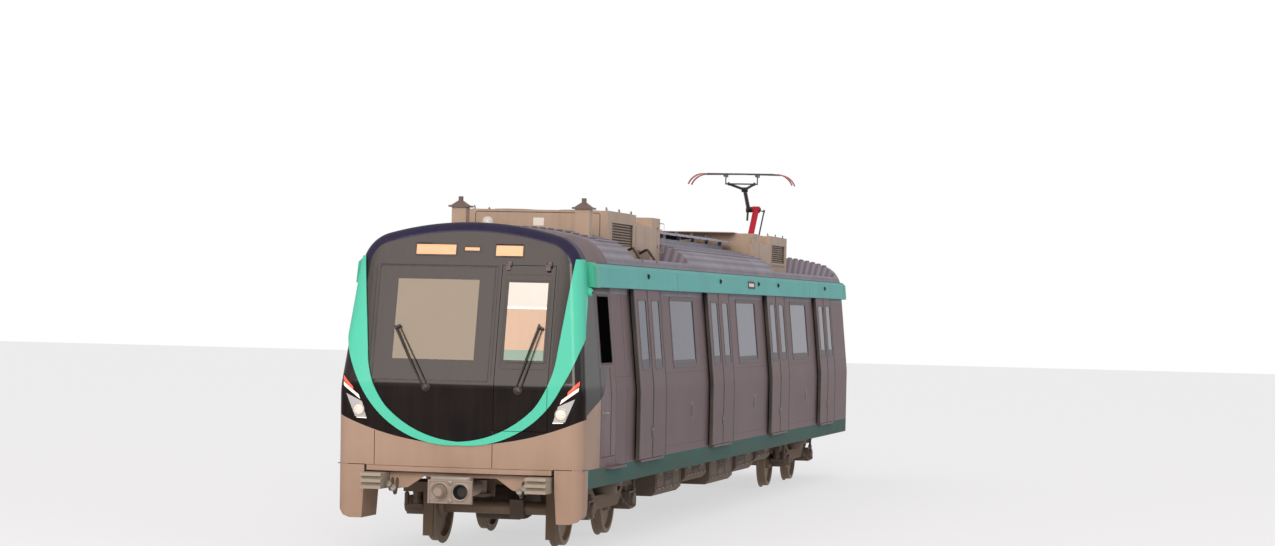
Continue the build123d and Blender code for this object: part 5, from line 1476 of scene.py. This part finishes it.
def noseUnderside():
    shape = bmesh.new()
    rings = []
    back, low, high, chamfer = 10.64, 0.957, 1.016, 0.004
    for y in steps(-1.09, 1.09, 24):
        front = skinX(y, 1.03) + 0.006
        rings.append([Vector((x, y, z)) for x, z in ((back, low), (front - chamfer, low), (front, low + chamfer),
                                                     (front, high - chamfer), (front - chamfer, high), (back, high))])
    loft(shape, rings)
    piece("bumper_ledge", shape, "carbody", "bumper_paint", finish["bumper_paint"])
    shape = bmesh.new()
    plateShape(shape, cornered((-0.838, 0.955), (-0.838, 0.740), (-0.620, 0.770), (-0.430, 0.900), (0.430, 0.900),
                               (0.620, 0.770), (0.838, 0.740), (0.838, 0.955)), -0.050, -0.038, onFlatX(10.664))
    piece("draft_plate", shape, "carbody", "bumper_paint", finish["bumper_paint"])
    shape = bmesh.new()
    for side in (1, -1):
        for y, drop in ((side * 0.745, 0.70), (side * 0.800, 0.74)):
            tubeShape(shape, [(10.56, y, 0.945), (10.62, y, 0.860), (10.70, y, drop), (10.79, y, drop + 0.06)],
                      0.017, 10, 0, 4)
            turnedShape(shape, (10.775, y, drop + 0.05), (0.83, 0, 0.56),
                        [(0, 0), (0.026, 0), (0.026, 0.030), (0.038, 0.034), (0.038, 0.048), (0.020, 0.052),
                         (0, 0.052)], 16, 1)
    piece("air_hoses", shape, "carbody", "black_trim", hoseRubber, boltSteel)


def couplerTrim():
    # rims round the cone and the cup, the cup's lining, the cone's tip, valves and top strip
    shape = bmesh.new()
    ahead = (1, 0, 0)
    frameShape(shape, roundedOutline(-0.258, 0.258, 0.624, 0.890, 0.012, 3), 0.020, 0.0, 0.0002, 0.006,
               onFlatX(couplerFace), 1)
    for y, inner, step in ((-0.120, 0.081, 0.002), (0.120, 0.086, 0.003)):
        ringShape(shape, (couplerFace, y, couplerZ), ahead, [(inner, 0.0003), (0.108, 0.0003), (0.108, 0.006),
                                                             (0.099, 0.010), (inner, step)], 36)
    turnedShape(shape, (10.9905, 0.120, couplerZ), ahead, [(0, 0.001), (0.0610, 0.001), (0.0834, 0.0892),
                                                           (0.0824, 0.0895), (0.0585, 0.003), (0, 0.003)], 36, 2)
    turnedShape(shape, (11.1635, -0.120, couplerZ), ahead, [(0, -0.001), (0.032, -0.001), (0.026, 0.005),
                                                            (0, 0.0055)], 20, 3)
    for z in (0.655, 0.860):
        turnedShape(shape, (couplerFace, 0, z), ahead, [(0, 0.0003), (0.026, 0.0003), (0.026, 0.016), (0.019, 0.020),
                                                        (0.010, 0.020), (0.008, 0.010), (0, 0.010)], 20)
    boxShape(shape, 11.0755, 11.0840, -0.205, 0.205, 0.888, 0.922, 0.003)
    piece("coupler_face", shape, "coupler", "cast_steel", boltSteel, finish["cast_steel"], seamShadow,
          finish["bright_steel"])
    bolts = [((couplerFace + 0.006, y, z), ahead) for y in (-0.240, 0.240) for z in (0.645, 0.870)]
    bolts += [((10.862, side * 0.1705, z), (0, side, 0)) for side in (1, -1) for z in (0.68, 0.76, 0.84)]
    boltsOn("coupler_bolts", bolts, "coupler", "cast_steel", 0.012, 0.009)


noseUnderside()
couplerTrim()

# Under the floor: x from and to of the cases, with their lower edge
caseSpans = ((3.150, 4.900, 0.430), (1.250, 2.850, 0.520), (-0.900, 1.000, 0.400), (-2.700, -1.200, 0.480),
             (-4.300, -3.000, 0.560))
caseSide, lidLength, lidTop = 1.150, 0.62, 0.895


def caseLids(shape, side, place):
    # lids with latches and hinges, a plate on each or louvres on the middle one, and bolts over them
    louvres, bolts = [], []
    for x0, x1, low in caseSpans:
        lids = max(2, round((x1 - x0) / lidLength))
        z0, z1 = low + 0.085, lidTop
        for i in range(lids):
            a = x0 + 0.05 + (x1 - x0 - 0.1) * i / lids + 0.01
            b = x0 + 0.05 + (x1 - x0 - 0.1) * (i + 1) / lids - 0.01
            frameShape(shape, roundedOutline(a, b, z0, z1, 0.015, 2), 0.022, 0.0, 0.0002, 0.007, place)
            for x in (a + (b - a) * 0.25, a + (b - a) * 0.75):
                boxShape(shape, x - 0.018, x + 0.018, *sided(side, 1.151, 1.166), z1 - 0.060, z1 - 0.020, 0.003, 1)
                y, z = side * 1.159, z0 + 0.006
                tubeShape(shape, [(x - 0.035, y, z), (x + 0.035, y, z)], 0.008, 8, 1)
            middle = (a + b) / 2
            if i == lids // 2:
                louvres.append(((middle, side * 1.157, (z0 + z1) / 2 - 0.01), (0, side, 0)))
            else:
                plateShape(shape, roundedOutline(middle - 0.05, middle + 0.05, 0.70, 0.76, 0.006, 2), 0.0002, 0.003,
                           place, 2, 0.001)
        bolts += [((x, side * 1.1505, 0.908), (0, side, 0)) for x in steps(x0 + 0.04, x1 - 0.04, 8)]
    return louvres, bolts


def underfloorTrim():
    for sideName, side in sides:
        shape = bmesh.new()
        louvres, bolts = caseLids(shape, side, onFlatY(caseSide, side))
        # two pipes along the side, on brackets
        for y, z, radius in ((side * 1.205, 0.896, 0.019), (side * 1.250, 0.898, 0.014)):
            tubeShape(shape, [(x, y, z) for x in steps(-5.55, 5.55, 4)], radius, 10, 3, 1)
        for x in steps(-5.2, 5.2, 13):
            boxShape(shape, x - 0.012, x + 0.012, *sided(side, 1.180, 1.275), 0.868, 0.921, 0.003, 1)
        piece("case_lids_" + sideName, shape, "carbody", "case_paint", finish["case_paint"], boltSteel,
              finish["cast_steel"], finish["roof_metal"])
        grow("case_louvres_" + sideName, slatTree, louvres, "carbody", "case_paint", Count=6, Step=0.034, Length=0.46,
             Depth=0.018, Thickness=0.004, Lean=0.8, Paint=grilleDark)
        boltsOn("case_bolts_" + sideName, bolts, "carbody", "case_paint")


underfloorTrim()

# Bogies: axle covers, dampers beside the axle boxes and their sensor cables
bogieCentres = {"front": 7.5, "rear": -7.5}
axleReach, axleZ = 1.2, 0.458


def axleTrim(shape, axle, side, outward):
    # returns the places of its bolts
    turnedShape(shape, (axle, side * 1.120, axleZ), (0, side, 0),
                [(0, 0.038), (0.072, 0.038), (0.072, 0.0003), (0.094, 0.0003), (0.094, 0.034), (0.084, 0.046),
                 (0.040, 0.048), (0.036, 0.054), (0, 0.054)], 32)
    x = axle + outward * 0.225
    for z0, z1, radius in ((0.470, 0.610, 0.030), (0.605, 0.705, 0.020)):
        height = z1 - z0
        turnedShape(shape, (x, side * 1.095, z0), (0, 0, 1),
                    [(0, 0), (radius * 0.8, 0), (radius, 0.006), (radius, height - 0.006), (radius * 0.8, height),
                     (0, height)], 18, 1)
    for z in (0.455, 0.715):
        tubeShape(shape, [(x, side * 1.045, z), (x, side * 1.118, z)], 0.022, 12, 1)
    tubeShape(shape, [(axle, side * 1.168, 0.430), (axle - outward * 0.05, side * 1.176, 0.390),
                      (axle - outward * 0.20, side * 1.12, 0.40), (axle - outward * 0.42, side * 1.075, 0.52)],
              0.008, 8, 2, 4)
    spots = [(dx, 1.1205, dz) for dx in (-0.105, 0.105) for dz in (-0.085, 0.085)]
    spots += [(0.083 * math.cos(a), 1.1565, 0.083 * math.sin(a)) for a in (math.tau * k / 6 for k in range(6))]
    return [((axle + dx, side * y, axleZ + dz), (0, side, 0)) for dx, y, dz in spots]


def bogieTrim():
    for name, centre in bogieCentres.items():
        shape = bmesh.new()
        bolts = []
        for outward in (-1, 1):
            for side in (1, -1):
                bolts += axleTrim(shape, centre + outward * axleReach, side, outward)
        piece("axle_covers_" + name, shape, "bogie_" + name, "bogie_paint", finish["drive_paint"],
              finish["case_paint"], hoseRubber)
        boltsOn("bogie_bolts_" + name, bolts, "bogie_" + name, "bogie_paint", height=0.007)


bogieTrim()
print("underfloor pieces made")

# Rear end: gangway frame, jumper boxes, marker lamps and grips
rearX, drawbarX, cornerY = -10.730, -11.1395, 1.12


def rearTrim():
    wall = onFlatX(rearX, -1)
    back = (-1, 0, 0)
    shape = bmesh.new()
    frameShape(shape, roundedOutline(-0.900, 0.900, 1.060, 3.230, 0.12, 5), 0.050, 0.0, 0.0003, 0.014, wall)
    for y in (-cornerY, cornerY):
        frameShape(shape, roundedOutline(y - 0.14, y + 0.14, 1.150, 1.420, 0.02, 3), 0.020, 0.0, 0.0003, 0.020,
                   wall, 1)
        turnedShape(shape, wall(y, 1.285, 0.0003), back, [(0, 0), (0.085, 0), (0.085, 0.060), (0.070, 0.072),
                                                          (0.030, 0.074), (0, 0.074)], 28, 1)
        turnedShape(shape, wall(y, 2.950, 0.0003), back, [(0, 0), (0.062, 0), (0.062, 0.016), (0.052, 0.022),
                                                          (0, 0.024)], 28, 2)
        turnedShape(shape, wall(y, 2.950, 0.020), back, [(0, 0), (0.046, 0), (0.036, 0.010), (0, 0.014)], 24, 3)
        grip = ((1.60, 0.0), (1.62, 0.055), (2.30, 0.055), (2.32, 0.0))
        tubeShape(shape, [wall(y * 0.93, z, off) for z, off in grip], 0.013, 12, 4)
    piece("rear_fittings", shape, "carbody", "black_trim", finish["black_trim"], finish["drive_paint"], sealRubber,
          redLamp, finish["bright_steel"])
    bolts = [(wall(side * 0.875, z, 0.014), back) for side in (1, -1) for z in steps(1.25, 3.05, 9)]
    bolts += [((drawbarX, 0.120 * math.cos(a), couplerZ + 0.120 * math.sin(a)), (1, 0, 0))
              for a in (math.radians(45 + 90 * k) for k in range(4))]
    boltsOn("rear_bolts", bolts, "carbody", "bright_steel", 0.011, 0.008)


rearTrim()


# Inside: ceiling lights, strap handles, desk screens and controls, driver's seat
def cushionShape(shape, centre, along, across, size, rise, index=0):
    # crowned pad: along and across span it, its sides pull in between the corners, rise is the crown's height
    centre, along, across = Vector(centre), Vector(along).normalized(), Vector(across).normalized()
    upward = along.cross(across)
    length, width, thick = size
    corner, pullIn, sides = 0.36, 0.03, 32
    rings = []
    for share, swell in ((-0.5, 0.90), (-0.40, 0.985), (-0.15, 1.0), (0.15, 1.0), (0.36, 0.985), (0.46, 0.93),
                         (0.5, 0.80)):
        ring = []
        for a in (math.tau * k / sides for k in range(sides)):
            c, s = math.cos(a), math.sin(a)
            u = math.copysign(abs(c) ** corner, c) * swell
            v = math.copysign(abs(s) ** corner, s) * swell
            pull = 1 - pullIn * (1 - abs(abs(u) - abs(v)))
            lift = rise * (1 - u * u) * (1 - v * v) if share > 0 else 0
            ring.append(centre + along * (u * pull * length / 2) + across * (v * pull * width / 2)
                        + upward * (share * thick + lift))
        rings.append(ring)
    rows = loft(shape, rings, index, capped=False)
    for ring, row, lift in ((rings[0], rows[0], 0), (rings[-1], rows[-1], rise)):
        hub = shape.verts.new(sum(ring, Vector()) / sides + upward * lift)
        for k in range(sides):
            shape.faces.new((row[k], row[(k + 1) % sides], hub)).material_index = index


lightSpans = ((-9.9, -6.9), (-6.6, -3.6), (-3.3, -0.3), (0.0, 3.0), (3.3, 6.3), (6.6, 8.5))
screenSpans = ((-1.10, -0.72), (-0.62, -0.22), (-0.14, 0.20))
deskUp = (-0.242, 0, 0.970)


def onDesk(u, v, off):
    # u across the desk, v up its slope
    return Vector((10.285 - v * deskUp[2], u, 1.8965 + v * deskUp[0])) + Vector(deskUp) * off


def interiorTrim():
    shape = bmesh.new()
    for x0, x1 in lightSpans:
        for y in (-0.62, 0.62):
            boxShape(shape, x0, x1, y - 0.075, y + 0.075, 3.262, 3.296, 0.012)
    piece("ceiling_lights", shape, "carbody", "lamp_lens", ceilingLight)
    straps = [((x, side * 0.870, 2.950), (-1, 0, 0)) for centre in doorCentres[:3] for side in (1, -1)
              for x in steps(centre - 4.15, centre - 0.85, 9)]
    grow("strap_handles", strapTree, straps, "carbody", "black_trim", Drop=0.15, Ring=0.060,
         Web=finish["black_trim"], Plastic=finish["bench_plastic"])
    # screens on the desk, and the lever between them
    shape = bmesh.new()
    for y0, y1 in screenSpans:
        plateShape(shape, roundedOutline(y0, y1, 0.030, 0.230, 0.02, 3), -0.002, 0.016, onDesk, 1)
        plateShape(shape, roundedOutline(y0 + 0.02, y1 - 0.02, 0.048, 0.212, 0.01, 2), 0.015, 0.018, onDesk, 2,
                   0.001)
    lever = ((0.16, -0.002), (0.17, 0.060), (0.18, 0.105))
    tubeShape(shape, [onDesk(-0.67, v, off) for v, off in lever], 0.010, 10)
    turnedShape(shape, onDesk(-0.67, 0.18, 0.095), deskUp, [(0, 0), (0.017, 0.002), (0.024, 0.018), (0.018, 0.036),
                                                            (0, 0.040)], 18, 1)
    piece("desk_screens", shape, "carbody", "desk_plastic", finish["bright_steel"], finish["desk_plastic"],
          screenDark)


def seatTrim():
    # column, pan, the back's bars and armrests, then the two cushions
    seatX, seatY = 9.500, -0.120
    shape = bmesh.new()
    turnedShape(shape, (seatX, seatY, 1.1302), (0, 0, 1), [(0, 0), (0.190, 0), (0.190, 0.014), (0.070, 0.035),
                (0.052, 0.060), (0.052, 0.250), (0.040, 0.252), (0.040, 0.395), (0, 0.395)], 28)
    boxShape(shape, seatX - 0.19, seatX + 0.17, seatY - 0.17, seatY + 0.17, 1.515, 1.542, 0.008)
    for side in (1, -1):
        for points, radius, count, index in (
                (((-0.19, 0.15, 1.53), (-0.235, 0.15, 1.60), (-0.262, 0.15, 2.05)), 0.014, 10, 0),
                (((-0.245, 0.20, 1.84), (-0.10, 0.225, 1.85), (0.08, 0.225, 1.845)), 0.022, 12, 1)):
            tubeShape(shape, [(seatX + dx, seatY + side * dy, z) for dx, dy, z in points], radius, count, index)
    pedestal = piece("seat_pedestal", shape, "carbody", "seat_fabric", finish["case_paint"], finish["desk_plastic"])
    pads = []
    for name, middle, along, across, size, rise in (
            ("seat_cushion", (seatX + 0.01, seatY, 1.592), (1, 0, 0), (0, 1, 0), (0.45, 0.455, 0.088), 0.016),
            ("seat_back", (seatX - 0.207, seatY, 1.965), (0, -1, 0), (-0.11, 0, 0.994), (0.43, 0.61, 0.080),
             0.014)):
        shape = bmesh.new()
        cushionShape(shape, middle, along, across, size, rise)
        pads.append(piece(name, shape, "carbody", "seat_fabric", finish["seat_fabric"]))
    for part in (pedestal, *pads):
        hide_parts("driver_seat")


interiorTrim()
seatTrim()
print("inside pieces made")
